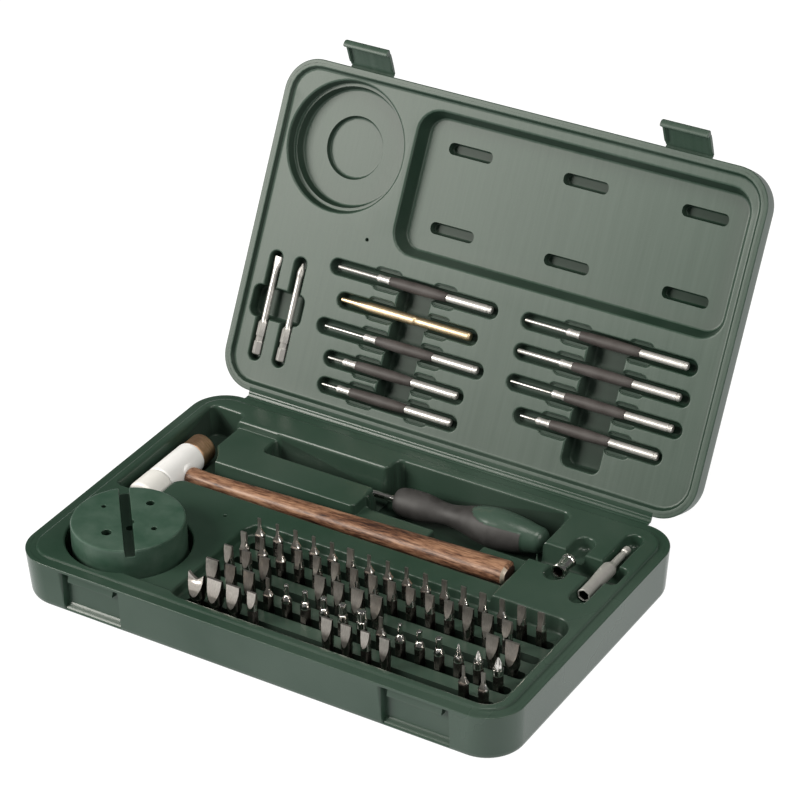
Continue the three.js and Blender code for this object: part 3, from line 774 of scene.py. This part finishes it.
def lid_tray():
    dish = Sunk(lid_rect(5.2), -3.2, 1.0, 2.0, 0.5, step=True)
    verts, faces = relief(lid_rect(2.5), -RIM_GAP, [dish, *turn_over(lid_pockets())])
    verts = [(x, y, -z) for x, y, z in verts]
    faces = [f[::-1] for f in faces]
    small = [p for p in lid_pockets() if min(p.shape.hx, p.shape.hy) < 14]
    # walls, slots and small pockets take the darker green: painted shade
    marks = [1 if painted_shade_face(verts, f, small) else 0 for f in faces]
    looks = [LID_GREEN, PAINTED_SHADE_GREEN]
    made = piece("lid_face", verts, faces, "lid", looks, ["lid_tray"], LID_MATRIX, marks=marks)
    return weigh_normals(made)


def lid_shell():
    draft, edge, lip = 2.0, 12.0, 0.7
    t = LID_THICKNESS
    profile = [(3.0, 0.8 + RIM_GAP), (2.6, RIM_GAP)]
    for k in range(5):
        a = math.radians(90 * k / 4)
        profile.append((lip * (1 - math.sin(a)), RIM_GAP + lip * (1 - math.cos(a))))
    profile += [(draft * z / t, z) for z in (3, 6, 9)]
    for k in range(9):
        a = math.radians(90 * k / 8)
        inset = draft * 0.6 + edge * (1 - math.cos(a))
        profile.append((inset, t - edge + edge * math.sin(a)))
    rings = []
    for inset, z in profile:
        ring = wall_ring(inset, z, CORNER - inset * 0.8)
        rings.append([(x, y + LID_BACK - DEPTH / 2, z) for x, y, z in ring])
    verts, faces = sweep(rings, closed_end=True)
    made = piece("lid_shell", verts, faces, "lid", LID_GREEN, ["lid_outer_wall"], LID_MATRIX)
    return weigh_normals(made)


# ---- bits standing in their rows ----

BIT_FOOT, BIT_TIP, BIT_FLAT = 12.9, 44.6, 3.2
NO = 0
BIT_WIDTHS = [
    [2.4, 2.2, 2.8, 2.4, 2.8, 4.8, 2.4, 2.6, 2.6, 3.2, 3.6, 3.6, 4.6, 3.6, 5.6, 4.6],
    [4.2, 3, 3, 5, 5.3, 5.7, 5, 5.7, 5.3, 6.2, 6, 6, 7.4, 7.6, 6.8, NO],
    [6, 6.4, 7.6, NO, NO, 7.6, 7.2, 8.8, 8.4, NO, NO, NO, NO, NO, 8.8, 9.4],
    [9, 7.2, 7.6, 2.5, 3, 3.6, 4.2, 4.8, 6, 2.6, 2.8, 3.4, 4, 4, 5.5, 6.6],
    [11.4, 10.6, 9.6, 6.5, NO, NO, NO, 7.6, 7.2, 6.2, 7, NO, NO, NO, 1.8, 2.8],
]
STAR_BITS = [(3, c) for c in range(4, 9)]
HEX_BITS = [(3, c) for c in (10, 11, 12)]
CROSS_BITS = [(3, c) for c in (13, 14, 15)]
NOTCHED_BIT = (4, 0)


def wedge_ring(z, r, h, arc=6, flat=4):
    """A circle cut off by two flats at plus and minus h."""
    a = math.asin(min(h / r, 1))
    chord, top = r * math.cos(a), r * math.sin(a)
    ring = []
    for side in (1, -1):
        for i in range(arc + 1):
            t = -a + 2 * a * i / arc
            ring.append((side * r * math.cos(t), side * r * math.sin(t), z))
        for i in range(1, flat):
            ring.append((side * chord * (1 - 2 * i / flat), side * top, z))
    return ring


BLACKENED, GROUND, BRIGHT = 0, 1, 2


def mirrored_cap(start, arc=6, flat=4):
    """Strips across a wedge ring, between the points that face each other."""
    n = 2 * (arc + flat)
    faces = []
    for i in range(arc // 2, arc // 2 + n // 2):
        face = [i, i + 1, (arc - i - 1) % n, (arc - i) % n]
        faces.append(tuple(start + k for k in dict.fromkeys(face)))
    return faces


def blade_head(width, notched, arc=6, flat=4):
    """The ground end of a flat bit: a cone or swelling cut by two hollow-ground faces."""
    wide = width >= 7
    tip_half = 0.35 + 0.05 * width
    neck = max(width / 2, 1.05)
    slope = (width / 2 - tip_half) / 15 if wide else 0.03 + 0.035 * width
    start = 23.6 if wide else 32.0
    count = 40
    rings, marks = [], []
    for k in range(count + 1):
        z = start + (BIT_TIP - start) * k / count
        if wide:
            r = 3.4 + (width / 2 - 3.4) * ease((z - start) / 4.8)
        else:
            cone = min(max((z - start - 0.8) / 4.2, 0), 1)
            r = 3.45 + (neck - 3.45) * cone ** 0.8
        below = BIT_TIP - z
        h = tip_half + slope * below - 0.35 * math.sin(min(below / 11, 1) * math.pi)
        ring = wedge_ring(z, r, max(h, 0.35), arc, flat)
        if notched:
            share = ease((z - BIT_TIP + 7) / 7)
            ring = [(x, y, q - 4.4 * share * max(1 - (x / 4.6) ** 2, 0)) for x, y, q in ring]
        rings.append(ring)
        side = BLACKENED if wide else BRIGHT if z < start + 4.6 else GROUND
        marks += ([side] * arc + [GROUND] * flat) * 2
    verts, faces = sweep(rings, True)
    cap = mirrored_cap(count * len(rings[0]), arc, flat)
    marks = marks[len(rings[0]) :] + [BLACKENED] + [GROUND] * len(cap)
    return verts, faces + cap, marks


def lobed_head(width, lobes):
    """A turned cone with a star, hexagon or crosspoint tip."""
    n = 48
    rings = []
    for z, r in [(32.0, 3.3), (32.4, 3.45), (33.0, 3.45), (36.6, width / 2 + 0.15)]:
        rings.append(
            [(r * math.cos(2 * math.pi * i / n), r * math.sin(2 * math.pi * i / n), z) for i in range(n)]
        )
    stations = [(36.8, 1), (38.5, 1), (40.5, 1), (42.5, 1), (44.0, 1), (44.5, 0.86), (BIT_TIP, 0.7)]
    if lobes == 4:
        stations = [
            (36.6 + 8 * t, 1 - 0.86 * t ** 1.5) for t in (0, 0.15, 0.3, 0.45, 0.6, 0.75, 0.88, 0.96, 1)
        ]
    for z, share in stations:
        ring = []
        for i in range(n):
            a = 2 * math.pi * i / n
            r = width / 2 * share
            if lobes == 4:
                depth = 0.12 + 0.5 * (z - 36.6) / 8
                r *= 1 - depth * (1 - abs(math.cos(2 * a + math.pi / 4)))
            elif lobes == 6:
                r *= 1 - 0.13 * (1 + math.cos(6 * a))
            else:
                r = hex_radius(a, r * 0.88)
            ring.append((r * math.cos(a), r * math.sin(a), z))
        rings.append(ring)
    verts, faces = sweep(rings, True, True)
    return verts, faces, [BRIGHT] * len(faces)


def hex_rod(z0, z1, flat):
    rings = []
    for z, share in [(z0, 0.9), (z0 + 0.5, 1), (z1 - 0.7, 1), (z1, 0.88)]:
        ring = []
        for i in range(6):
            a = math.pi / 3 * i
            ring.append((flat / 0.866 * share * math.cos(a), flat / 0.866 * share * math.sin(a), z))
        rings.append(ring)
    return sweep(rings, True, True)


def shifted(verts, x, y):
    return [(v[0] + x, v[1] + y, v[2]) for v in verts]


def bit_rows():
    for row, widths in enumerate(BIT_WIDTHS):
        shanks, heads = Lot(), Lot()
        y = BIT_ROW_Y[row]
        for column, width in enumerate(widths):
            if not width:
                continue
            x = BIT_X + (column - 7.5) * BIT_PITCH
            key = (row, column)
            if key in STAR_BITS or key in HEX_BITS or key in CROSS_BITS:
                lobes = 6 if key in STAR_BITS else 4 if key in CROSS_BITS else 1
                verts, faces, marks = lobed_head(width, lobes)
            else:
                verts, faces, marks = blade_head(width, key == NOTCHED_BIT)
            heads.add(shifted(verts, x, y), faces, marks)
            verts, faces = hex_rod(BIT_FOOT, 25 if width >= 7 else 32.6, BIT_FLAT)
            shanks.add(shifted(verts, x, y), faces)
        node = f"bit_row_{row + 1}"
        piece(f"{node}_shanks", shanks.verts, shanks.faces, "base", BLACK_STEEL, [node])
        looks = [BLACK_STEEL, GROUND_STEEL, CHROME]
        piece(f"{node}_heads", heads.verts, heads.faces, "base", looks, marks=heads.marks)


# ---- hammer ----

HEAD_X, HEAD_Z = -152.7, 22.4
HANDLE_Y = 29.4
NECK_Z, END_Z = 22.0, 27.6


def hammer():
    white = soften([(11, 0), (11, 10.8), (12.5, 11.1), (46.5, 11.0), (47.7, 10.6), (47.7, 0)], 0.9)
    verts, faces = turned(white, 64)
    piece(
        "hammer_barrel", along_y(verts, HEAD_X, HEAD_Z), faces, "hammer",
        WHITE_METAL, ["hammer_head"],
    )
    boss = soften([(HEAD_X, 0), (HEAD_X, 7.6), (-143.6, 7.4), (-141.6, 6.2), (-141.6, 0)], 2.0, 5)
    verts, faces = turned(boss, 56)
    verts = [(x, y + HANDLE_Y, z * 0.95 + HEAD_Z) for x, y, z in verts]
    piece("hammer_boss", verts, faces, "hammer", WHITE_METAL)
    copper = soften([(47.9, 0), (47.9, 9.9), (49, 10.2), (61.5, 10.2), (62.9, 9.0), (62.9, 0)], 0.8)
    verts, faces = turned(copper, 64)
    piece(
        "hammer_copper", along_y(verts, HEAD_X, HEAD_Z), faces, "hammer",
        COPPER, ["hammer_brass_face"],
    )
    nylon = soften([(-10, 0), (-10, 9.9), (-8.5, 11.2), (9.4, 11.2), (10.8, 10.6), (10.8, 0)], 0.8)
    verts, faces = turned(nylon, 64)
    piece(
        "hammer_nylon", along_y(verts, HEAD_X, HEAD_Z), faces, "hammer", NYLON, ["hammer_nylon_face"]
    )
    hammer_handle()


def oval(x, half_y, half_z, z, points=40, power=0.88):
    ring = []
    for i in range(points):
        a = 2 * math.pi * i / points
        c, s = math.cos(a), math.sin(a)
        y = HANDLE_Y + half_y * math.copysign(abs(c) ** power, c)
        ring.append((x, y, z + half_z * math.copysign(abs(s) ** power, s)))
    return ring


def hammer_handle():
    stations = [
        (-144, 5.0, 4.1), (-141.6, 5.6, 4.6), (-140.6, 6.3, 5.2), (-138.5, 6.6, 5.4), (-136, 6.3, 5.2)
    ]
    stations += [(-133, 5.9, 4.8), (-128, 5.8, 4.6)]
    start, end, count = -120, 99.4, 26
    for k in range(count + 1):
        t = k / count
        stations.append((start + (end - start) * t, 5.9 + 3.1 * t, 4.6 + 2.15 * t))
    rings = [oval(x, hy, hz, NECK_Z + (END_Z - NECK_Z) * (x + 144) / 243.4) for x, hy, hz in stations]
    sides = len(rings[0])
    marks = [0] * sides * (len(stations) - 1)
    for grow, along in ((0.6, 0.35), (1.5, 1.1), (2.3, 2.1)):
        rings.append(oval(end + along, 9 - grow, 6.75 - grow, END_Z))
        # one side of the end chamfer takes the light colour: a painted highlight
        marks += [1 if 100 < 360 * i / sides < 230 else 0 for i in range(sides)]
    for inner in (4, 6.4):
        rings.append(oval(end + 2.3, 9 - inner, 6.75 - inner, END_Z))
        marks += [2] * sides
    verts, faces = sweep(rings, True, True)
    looks = [WOOD, PAINTED_HIGHLIGHT_EDGE, END_GRAIN]
    made = piece(
        "hammer_grip", verts, faces, "hammer", looks, ["hammer_handle"], marks=marks + [0, 2]
    )
    return weigh_normals(made)


# ---- bench block: a disc with drilled holes and a slot across its face ----

BLOCK_AT, BLOCK_RADIUS, BLOCK_FOOT, BLOCK_TOP = (-124.4, -62.1), 37.0, 10.1, 46.5
BLOCK_TURN = math.radians(-51.5)
BLOCK_HOLES = [(2, 21.6, 2.7), (-21.6, 3.6, 1.6), (20.7, -1, 1.9), (-2.7, -19.8, 3.2), (3, -2.4, 2.8)]


def bench_block():
    edge = 1.7
    c, s = math.cos(-BLOCK_TURN), math.sin(-BLOCK_TURN)
    sunk = []
    for x, y, r in BLOCK_HOLES:
        at = (x * c - y * s, x * s + y * c)
        sunk.append(Sunk(Disc(*at, r, 28), BLOCK_TOP - 26, 0.35, 0.3, 0.12))
    along = 2 * c + 1.5 * s
    sunk.append(Sunk(Rect(along - 60, along + 60, -1 - 3.4, -1 + 3.4, 0.1), BLOCK_TOP - 5, 0.6, 0.5, 0.3))
    rim = Disc(0, 0, BLOCK_RADIUS, 128)
    verts, faces = relief(rim, BLOCK_TOP - edge, sunk, [Raised(rim, BLOCK_TOP, edge)], trim=True)
    mesh = bpy.data.meshes.new("block")
    mesh.from_pydata([Vector(v) * MM for v in verts], [], faces)
    work = bmesh.new()
    work.from_mesh(mesh)
    bmesh.ops.remove_doubles(work, verts=work.verts, dist=2e-6)
    loose = [v for v in work.verts if not v.link_faces]
    bmesh.ops.delete(work, geom=loose, context="VERTS")
    for inset, z in ((0, 30), (0, BLOCK_FOOT + 1.2), (1.2, BLOCK_FOOT)):
        rim_edges = [e for e in work.edges if len(e.link_faces) == 1]
        grown = bmesh.ops.extrude_edge_only(work, edges=rim_edges)
        for v in grown["geom"]:
            if isinstance(v, bmesh.types.BMVert):
                v.co.z = z * MM
                v.co.xy *= (BLOCK_RADIUS - inset) * MM / v.co.xy.length
    rim_edges = [e for e in work.edges if len(e.link_faces) == 1]
    bmesh.ops.contextual_create(work, geom=rim_edges)
    bmesh.ops.recalc_face_normals(work, faces=work.faces)
    work.to_mesh(mesh)
    work.free()
    # the slot and holes take the darker green: painted shade inside them
    for face in mesh.polygons:
        inner = face.center.xy.length < (BLOCK_RADIUS - 1.2) * MM
        face.material_index = 1 if inner and BLOCK_FOOT + 1 < face.center.z / MM < BLOCK_TOP - 1 else 0
    place = Matrix.Translation((BLOCK_AT[0] * MM, BLOCK_AT[1] * MM, 0)) @ Matrix.Rotation(
        BLOCK_TURN, 4, "Z"
    )
    looks = [BLOCK_GREEN, PAINTED_SHADE_GREEN]
    made = settle("round_bench_block", mesh, "bench_block", looks, ["bench_block"], place)
    return weigh_normals(made)


# ---- driver ----

DRIVER_MATRIX = Matrix.Translation((-17.4 * MM, 79.2 * MM, 16.8 * MM)) @ Matrix.Rotation(
    math.radians(-2.4), 4, "Y"
)
GRIP_PROFILE = [
    (5.9, 4.6), (6.1, 5.8), (7.0, 7.7), (8.4, 8.7), (11, 9.4), (15, 9.8), (20, 9.9), (26, 9.8), (31, 9.2),
    (36, 8.2), (41, 7.4), (46, 7.1), (51, 7.6), (56, 8.6), (62, 10.2), (68, 11.9), (74, 13.1), (80, 13.7),
    (87, 13.4), (94, 12.6), (101, 11.5), (108, 9.9), (112, 9.2),
]
BUTT = [(114, 8.5), (116, 7.2), (117.5, 5.2), (118.3, 2.8), (118.6, 0.2)]
GRIP_END, WINDOW_START = 103.6, 64.5


def profile_radius(profile, s):
    for (a, ra), (b, rb) in zip(profile, profile[1:]):
        if a <= s <= b:
            return ra + (rb - ra) * (s - a) / (b - a)
    return profile[-1][1]


def in_window(s, angle):
    """How far inside the green window over the grip a point is, from 0 to 1."""
    if s < WINDOW_START:
        return 0.0
    if s > GRIP_END:
        return 1.0
    opening = math.sqrt(1 - max((81 - s) / (81 - WINDOW_START), 0) ** 2) if s < 81 else 1.0
    half = 52 * opening
    away = abs((angle - 90 + 180) % 360 - 180)
    return ease((half - away) / 5 + 0.5)


def driver():
    stations = [s for s, _ in GRIP_PROFILE[:5]]
    stations += [12.5 + 1.5 * k for k in range(35)]
    stations += [64.5 + 1.0 * k for k in range(39)]
    stations += [103.2, 103.6, 104.0, 105.5, 107.5, 110, 112]
    segments = 96
    rings, marks = [], []
    for s in stations:
        ring = []
        for i in range(segments):
            a = 360 * i / segments
            inside = in_window(s, a)
            r = profile_radius(GRIP_PROFILE, s) - 0.45 * inside
            ring.append((s, r * math.cos(math.radians(a)), r * math.sin(math.radians(a))))
        rings.append(ring)
    for s, r in BUTT:
        turn = [math.radians(360 * i / segments) for i in range(segments)]
        rings.append([(s, r * math.cos(a), r * math.sin(a)) for a in turn])
        stations.append(s)
    for a, b in zip(stations, stations[1:]):
        marks += [
            1 if in_window((a + b) / 2, 360 * (i + 0.5) / segments) > 0.5 else 0 for i in range(segments)
        ]
    verts, faces = sweep(rings, True, True)
    looks = [RUBBER, DRIVER_GREEN]
    names = ["driver_grip", "driver_core"]
    made = piece(
        "driver_handle", verts, faces, "driver", looks, names,
        DRIVER_MATRIX, 50, marks + [0, 1],
    )
    weigh_normals(made)
    shank = [(-86, 0), (-86, 4.2), (-85, 4.4), (-62, 4.4), (-60, 2.4), (6.4, 2.4), (6.4, 0)]
    verts, faces = turned(soften(shank, 0.5), 32)
    piece("driver_rod", verts, faces, "driver", CHROME, ["driver_shank"], DRIVER_MATRIX)


# ---- adapters: turned sleeves with a hexagonal socket ----


def socket_sleeve(profile, depth, flat):
    """A closed sleeve along X: the outside, the mouth and the socket walls."""
    segments = 48
    rings = []
    turn = [2 * math.pi * i / segments for i in range(segments)]
    start = profile[0][0]
    for along, share in ((start + depth, 0.02), (start + depth, 1), (start + 0.5, 1), (start, 1.07)):
        ring = []
        for a in turn:
            r = hex_radius(a, flat) * share
            ring.append((along, r * math.cos(a), r * math.sin(a)))
        rings.append(ring)
    for along, radius in profile:
        rings.append([(along, radius * math.cos(a), radius * math.sin(a)) for a in turn])
    verts, faces = sweep(rings, True, True)
    # the socket floor and walls take the near-black steel: painted shade
    marks = [1] * (segments * 2) + [0] * (segments * (len(rings) - 3)) + [1, 0]
    return verts, faces, marks


ADAPTER_Z = 30.6
SHORT_ADAPTER_X = 128.8
LONG_ADAPTER_X = 154.8


def adapter(name, body, x, outline, depth, finish):
    """A turned sleeve lying along Y, with a hex socket `depth` deep in its near end."""
    soft = [outline[0], *soften(outline[1:-1], 0.3), outline[-1]]
    verts, faces, marks = socket_sleeve(soft, depth, 3.2)
    looks = [finish, SOCKET_PAINTED_SHADE]
    piece(name, along_y(verts, x, ADAPTER_Z), faces, body, looks, [body], marks=marks)


def adapters():
    outline = [
        (42.6, 4.3), (43, 4.9), (45.6, 4.9), (46.6, 4.45), (54.6, 4.45),
        (55.4, 4.95), (57.4, 4.95), (58, 4.4), (58, 0.1),
    ]
    adapter("short_socket", "adapter_short", SHORT_ADAPTER_X, outline, 9, CHROME)
    outline = [
        (28, 3.9), (28.3, 4.4), (34, 4.3), (42, 4.25), (50, 4.7), (56, 4.95), (61.5, 4.9), (65.6, 2.9),
        (67, 2.5), (78.6, 2.3), (79.2, 1.9), (81.4, 1.9), (82, 2.6), (86.3, 2.6), (86.8, 2.1), (86.8, 0.1),
    ]
    adapter("long_socket", "adapter_long", LONG_ADAPTER_X, outline, 11, SATIN_STEEL)


# ---- punches and long bits in the lid ----

LONG_PUNCH = (31.5, 9.4, 43.7, 34.2)
SHORT_PUNCH = (12.6, 9.9, 43.2, 35.1)
PUNCHES = [
    ("left_1", -111.2, LEFT_Y[0], LONG_PUNCH, 1.1),
    ("left_3", -111.2, LEFT_Y[2], LONG_PUNCH, 0.7),
    ("left_4", -103.3, LEFT_Y[3], SHORT_PUNCH, 0.8),
    ("left_5", -103.3, LEFT_Y[4], SHORT_PUNCH, 0.7),
    ("right_1", 32.6, RIGHT_Y[0], LONG_PUNCH, 1.0),
    ("right_2", 32.6, RIGHT_Y[1], LONG_PUNCH, 1.4),
    ("right_3", 32.6, RIGHT_Y[2], LONG_PUNCH, 0.7),
    ("right_4", 45.2, RIGHT_Y[3], SHORT_PUNCH, 0.8),
]


def in_lid(verts, y):
    return [(v[0], v[1] + y, v[2] + PUNCH_Z) for v in verts]


def punches():
    for name, x, y, (tip, collar, grip, tail), thin in PUNCHES:
        a, b = x + tip, x + tip + collar
        c, d = b + grip, b + grip + tail
        steel = [
            (x, 0), (x, thin * 0.8), (x + 0.4, thin), (a - 1.6, thin * 1.05), (a, 1.9), (a + 0.2, 2.5),
            (a + 2.2, 2.6), (a + 2.5, 2.35), (b - 2.4, 2.35), (b - 2.1, 2.6), (b - 0.2, 2.6), (b, 2.1),
            (c, 2.1), (c + 0.2, 2.6), (d - 3.4, 2.75), (d - 3.1, 2.45), (d - 2.5, 2.45), (d - 2.2, 2.75),
            (d - 0.7, 2.7), (d, 2.0), (d, 0),
        ]
        verts, faces = turned(steel, 32)
        body = f"punch_{name}"
        piece(
            f"{body}_steel", in_lid(verts, y), faces, body, SATIN_STEEL, [f"{body}_pin"], LID_MATRIX
        )
        sleeve = [(b - 0.1, 2.2), (b, 2.9), (b + 0.5, 3.15)]
        sleeve += [
            (b + grip * t, 3.15 + 0.7 * math.sin(math.pi * t)) for t in (0.1, 0.2, 0.35, 0.5, 0.65, 0.8, 0.9)
        ]
        sleeve += [(c - 0.5, 3.15), (c, 2.9), (c + 0.1, 2.2)]
        verts, faces = turned(sleeve, 32)
        piece(
            f"{body}_sleeve", in_lid(verts, y), faces, body, SLEEVE,
            [f"{body}_grip"], LID_MATRIX,
        )
    brass = [
        (-103.3, 0), (-103.3, 1.2), (-102.9, 1.5), (-92, 2.0), (-84, 2.9), (-80, 3.4), (-46, 3.4),
        (-44.6, 3.0),
        (-42.6, 2.9), (-40, 3.1), (-4, 3.1), (-2.9, 2.4), (-2.9, 0),
    ]
    verts, faces = turned(soften(brass, 0.5), 36)
    piece(
        "brass_punch", in_lid(verts, LEFT_Y[1]), faces, "punch_brass", BRASS,
        ["punch_brass"], LID_MATRIX,
    )


def long_bit(name, x, crosspoint):
    """A long hex-shanked bit whose tip points to the lid's front edge."""
    foot, z, n = -28.1, 6.4, 36
    outline = [
        (foot, 0.1), (foot, 2.6), (foot - 0.6, 3.1), (foot - 8.8, 3.1), (foot - 9.4, 2.6), (foot - 12.4, 2.6),
        (foot - 13, 3.1), (foot - 22, 3.1), (foot - 23.4, 2.3),
    ]
    rings = []
    for y, flat in outline:
        ring = []
        for i in range(n):
            a = 2 * math.pi * i / n
            r = hex_radius(a, flat * 0.98)
            ring.append((x + r * math.cos(a), y, z + r * math.sin(a)))
        rings.append(ring)
    start = foot - 24
    tip = -96.5
    for k in range(26):
        t = k / 25
        y = start + (tip - start) * t
        near = max(1 - (y - tip) / 11, 0)
        ring = []
        for i in range(n):
            a = 2 * math.pi * i / n
            c, s = math.cos(a), math.sin(a)
            if crosspoint:
                r = 2.15 + 0.5 * ease(near * 2.4) - 2.4 * max(near - 0.45, 0) ** 1.1 / 0.52
                r *= 1 - 0.42 * ease(near * 1.6) * (1 - abs(math.cos(2 * a)))
                ring.append((x + max(r, 0.3) * c, y, z + max(r, 0.3) * s))
            else:
                flare, thin = 1 + 0.35 * ease(near * 1.5), 1 - 0.72 * ease(near * 1.2)
                ring.append((x + 2.15 * flare * c, y, z - 2.15 * thin * s))
        if not crosspoint:
            ring = [(p[0], p[1], 2 * z - p[2]) for p in ring]
        rings.append(ring)
    verts, faces = sweep(rings, True, True)
    piece(f"{name}_body", verts, faces, name, SATIN_STEEL, [name], LID_MATRIX, 30)


# ---- latches: a hollow plate with a rolled edge, on a thin web ----


LATCH_X = 118
LATCH_Y = -234
LATCH_Z = 2
LATCH_OPEN = -45  # degrees from the plate hanging straight down


def latch(side, name):
    """Modelled hanging from its pivot: z down the plate, +y towards the case."""
    width, length = 34.0, 22.5
    half = width / 2
    lot = Lot()
    columns = [-half, -half + 0.5, -half + 1.7, -half + 2.6, 0, half - 2.6, half - 1.7, half - 0.5, half]
    raise_at = [1.4, 1.7, 1.7, 0.0, 0.0, 0.0, 1.7, 1.7, 1.4]
    rows = [-0.9, -2.2, -4.5, -7, -10, -13, -16, -length + 4.6]
    front = []
    for z in rows:
        bow = 0.7 * (1 - ((z + 11) / 11) ** 2)
        flange = ease((-z - 2.2) / 3.2)
        front.append([(x, -0.9 - bow * 0.6 + up * flange, z) for x, up in zip(columns, raise_at)])
    back = [
        [(x, -1.8 - 0.6 * 0.7 * (1 - ((z + 11) / 11) ** 2), z) for x in reversed(columns)] for z in rows
    ]
    verts, faces = sweep([a + b for a, b in zip(front, back)], True, True)
    lot.add(verts, faces)
    lip = [
        (-1.8, -length + 4.8), (-0.2, -length + 4.8), (1.8, -length + 3.8), (2.9, -length + 3.2),
        (3.3, -length + 2.4), (2.9, -length + 1.4), (1.4, -length + 0.5), (-0.6, -length + 0.1),
        (-1.8, -length + 0.8),
    ]
    rings = []
    for x, share in ((-half, 0.86), (-half + 0.6, 1), (half - 0.6, 1), (half, 0.86)):
        middle = (0.6, -length + 2.4)
        rings.append(
            [(x, middle[0] + (y - middle[0]) * share, middle[1] + (z - middle[1]) * share) for y, z in lip]
        )
    verts, faces = sweep(rings, True, True)
    lot.add(verts, faces)
    at = Vector((side * LATCH_X, LATCH_Y, LATCH_Z)) * MM
    pivot = Matrix.Translation(at) @ Matrix.Rotation(math.radians(LATCH_OPEN), 4, "X")
    made = piece(
        f"{name}_plate", lot.verts, lot.faces, name, LID_GREEN, [name], LID_MATRIX @ pivot
    )
    weigh_normals(made)
    latch_web(side, name, LID_MATRIX @ pivot)


def latch_web(side, name, matrix):
    """A thin strip that bends between the lid's rim and the plate."""
    half = 16.6
    inner = [LID_MATRIX @ (Vector((0, y, z)) * MM) for y, z in ((-230.6, 1.2), (-232.2, 1.4))]
    outer = [matrix @ (Vector((0, -1.3, z)) * MM) for z in (-0.2, -1.2, -2.4)]
    path = [p / MM for p in inner + outer]
    rings = []
    for x in (side * LATCH_X - half, side * LATCH_X + half):
        upper = [(x, p.y, p.z) for p in path]
        lower = [(x, p.y + 0.5, p.z - 0.25) for p in reversed(path)]
        rings.append(upper + lower)
    verts, faces = sweep(rings, True, True)
    made = piece(f"{name}_web", verts, faces, None, LID_GREEN)
    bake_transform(made)


# ---- living hinge ----


def hinge_web():
    """The thin strip between the two rims, with moulded creases along it."""
    path = [
        (114.3, 32.6), (115.4, 32.5), (116.2, 32.15), (116.9, 32.5),
        (117.8, 32.5), (118.5, 32.2), (119.2, 32.9),
    ]
    path += [(119.7, 33.6), (119.9, 34.4), (120.4, 35.0), (120.6, 36.0), (121.4, 37.8)]
    rings = []
    for x in (-154, 154):
        upper = [(x, y, z) for y, z in path]
        lower = [
            (x, y + 0.55 + 0.05 * i, z - 1.1 + 0.06 * i) for i, (y, z) in reversed(list(enumerate(path)))
        ]
        rings.append(upper + lower)
    verts, faces = sweep(rings, True, True)
    names = ["base_hinge_leaf", "lid_hinge_leaf"]
    made = piece("hinge_web", verts, faces, None, BASE_GREEN, names, sharp=25)
    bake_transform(made)


# ---- camera, floor and light ----

SENSOR = 36
LENS = 144.225
CAMERA_AT = Vector((0.9132, -1.4075, 1.1756))
CAMERA_ROWS = (
    (0.85451, 0.51925, -0.01396),
    (-0.26284, 0.45540, 0.85060),
    (0.44803, -0.72318, 0.52562),
)


def make_camera():
    data = bpy.data.cameras.new("camera")
    data.lens = LENS
    data.sensor_width = SENSOR
    data.clip_start, data.clip_end = 0.05, 50
    camera = bpy.data.objects.new("camera", data)
    bpy.context.scene.collection.objects.link(camera)
    camera.matrix_world = Matrix.Translation(CAMERA_AT) @ Matrix(CAMERA_ROWS).transposed().to_4x4()
    bpy.context.scene.camera = camera


def make_floor():
    m = Nodes("pale_floor")
    speckle = m.noise(m.place(), 30, 3)
    m.link(
        m.ramp(speckle, [(0.2, (0.15, 0.15, 0.15)), (0.8, (0.16, 0.16, 0.16))]),
        m.shader.inputs["Base Color"],
    )
    m.set(Roughness=0.9)
    m.set(Emission_Color=(1, 1, 1, 1), Emission_Strength=0.96)
    mesh = bpy.data.meshes.new("floor")
    mesh.from_pydata([(-30, -30, 0), (30, -30, 0), (30, 30, 0), (-30, 30, 0)], [], [(0, 1, 2, 3)])
    mesh.materials.append(m.material)
    floor = bpy.data.objects.new("floor", mesh)
    bpy.context.scene.collection.objects.link(floor)


WARM_WHITE = (1, 0.97, 0.91)


def make_lamp(name, at, target, side, watts):
    data = bpy.data.lights.new(name, "AREA")
    data.shape = "RECTANGLE"
    data.size, data.size_y = side, side
    data.energy = watts
    data.color = WARM_WHITE
    lamp = bpy.data.objects.new(name, data)
    lamp.location = at
    lamp.rotation_mode = "QUATERNION"
    lamp.rotation_quaternion = (Vector(target) - Vector(at)).to_track_quat("-Z", "Y")
    bpy.context.scene.collection.objects.link(lamp)


def make_light():
    world = bpy.data.worlds.new("studio")
    world.use_nodes = True
    world.node_tree.nodes["Background"].inputs["Color"].default_value = (1, 1, 1, 1)
    world.node_tree.nodes["Background"].inputs["Strength"].default_value = 0.1
    bpy.context.scene.world = world
    make_lamp("overhead", (0.25, -0.3, 1.9), (0, 0, 0.05), 0.8, 14)
    make_lamp("front_left", (-1.4, -1.35, 1.1), (-0.05, 0.1, 0.1), 0.95, 54)
    make_lamp("right", (1.05, -0.15, 0.75), (0.15, 0, 0.03), 0.7, 6)
    bpy.context.scene.view_settings.view_transform = "Standard"


make_camera()
make_floor()
make_light()
base_tray()
base_shell()
catches()
lid_tray()
lid_shell()
bit_rows()
hammer()
bench_block()
driver()
adapters()
punches()
long_bit("long_bit_slotted", LONG_BIT_X[0], False)
long_bit("long_bit_phillips", LONG_BIT_X[1], True)
latch(-1, "latch_left")
latch(1, "latch_right")
hinge_web()

bpy.context.view_layer.update()
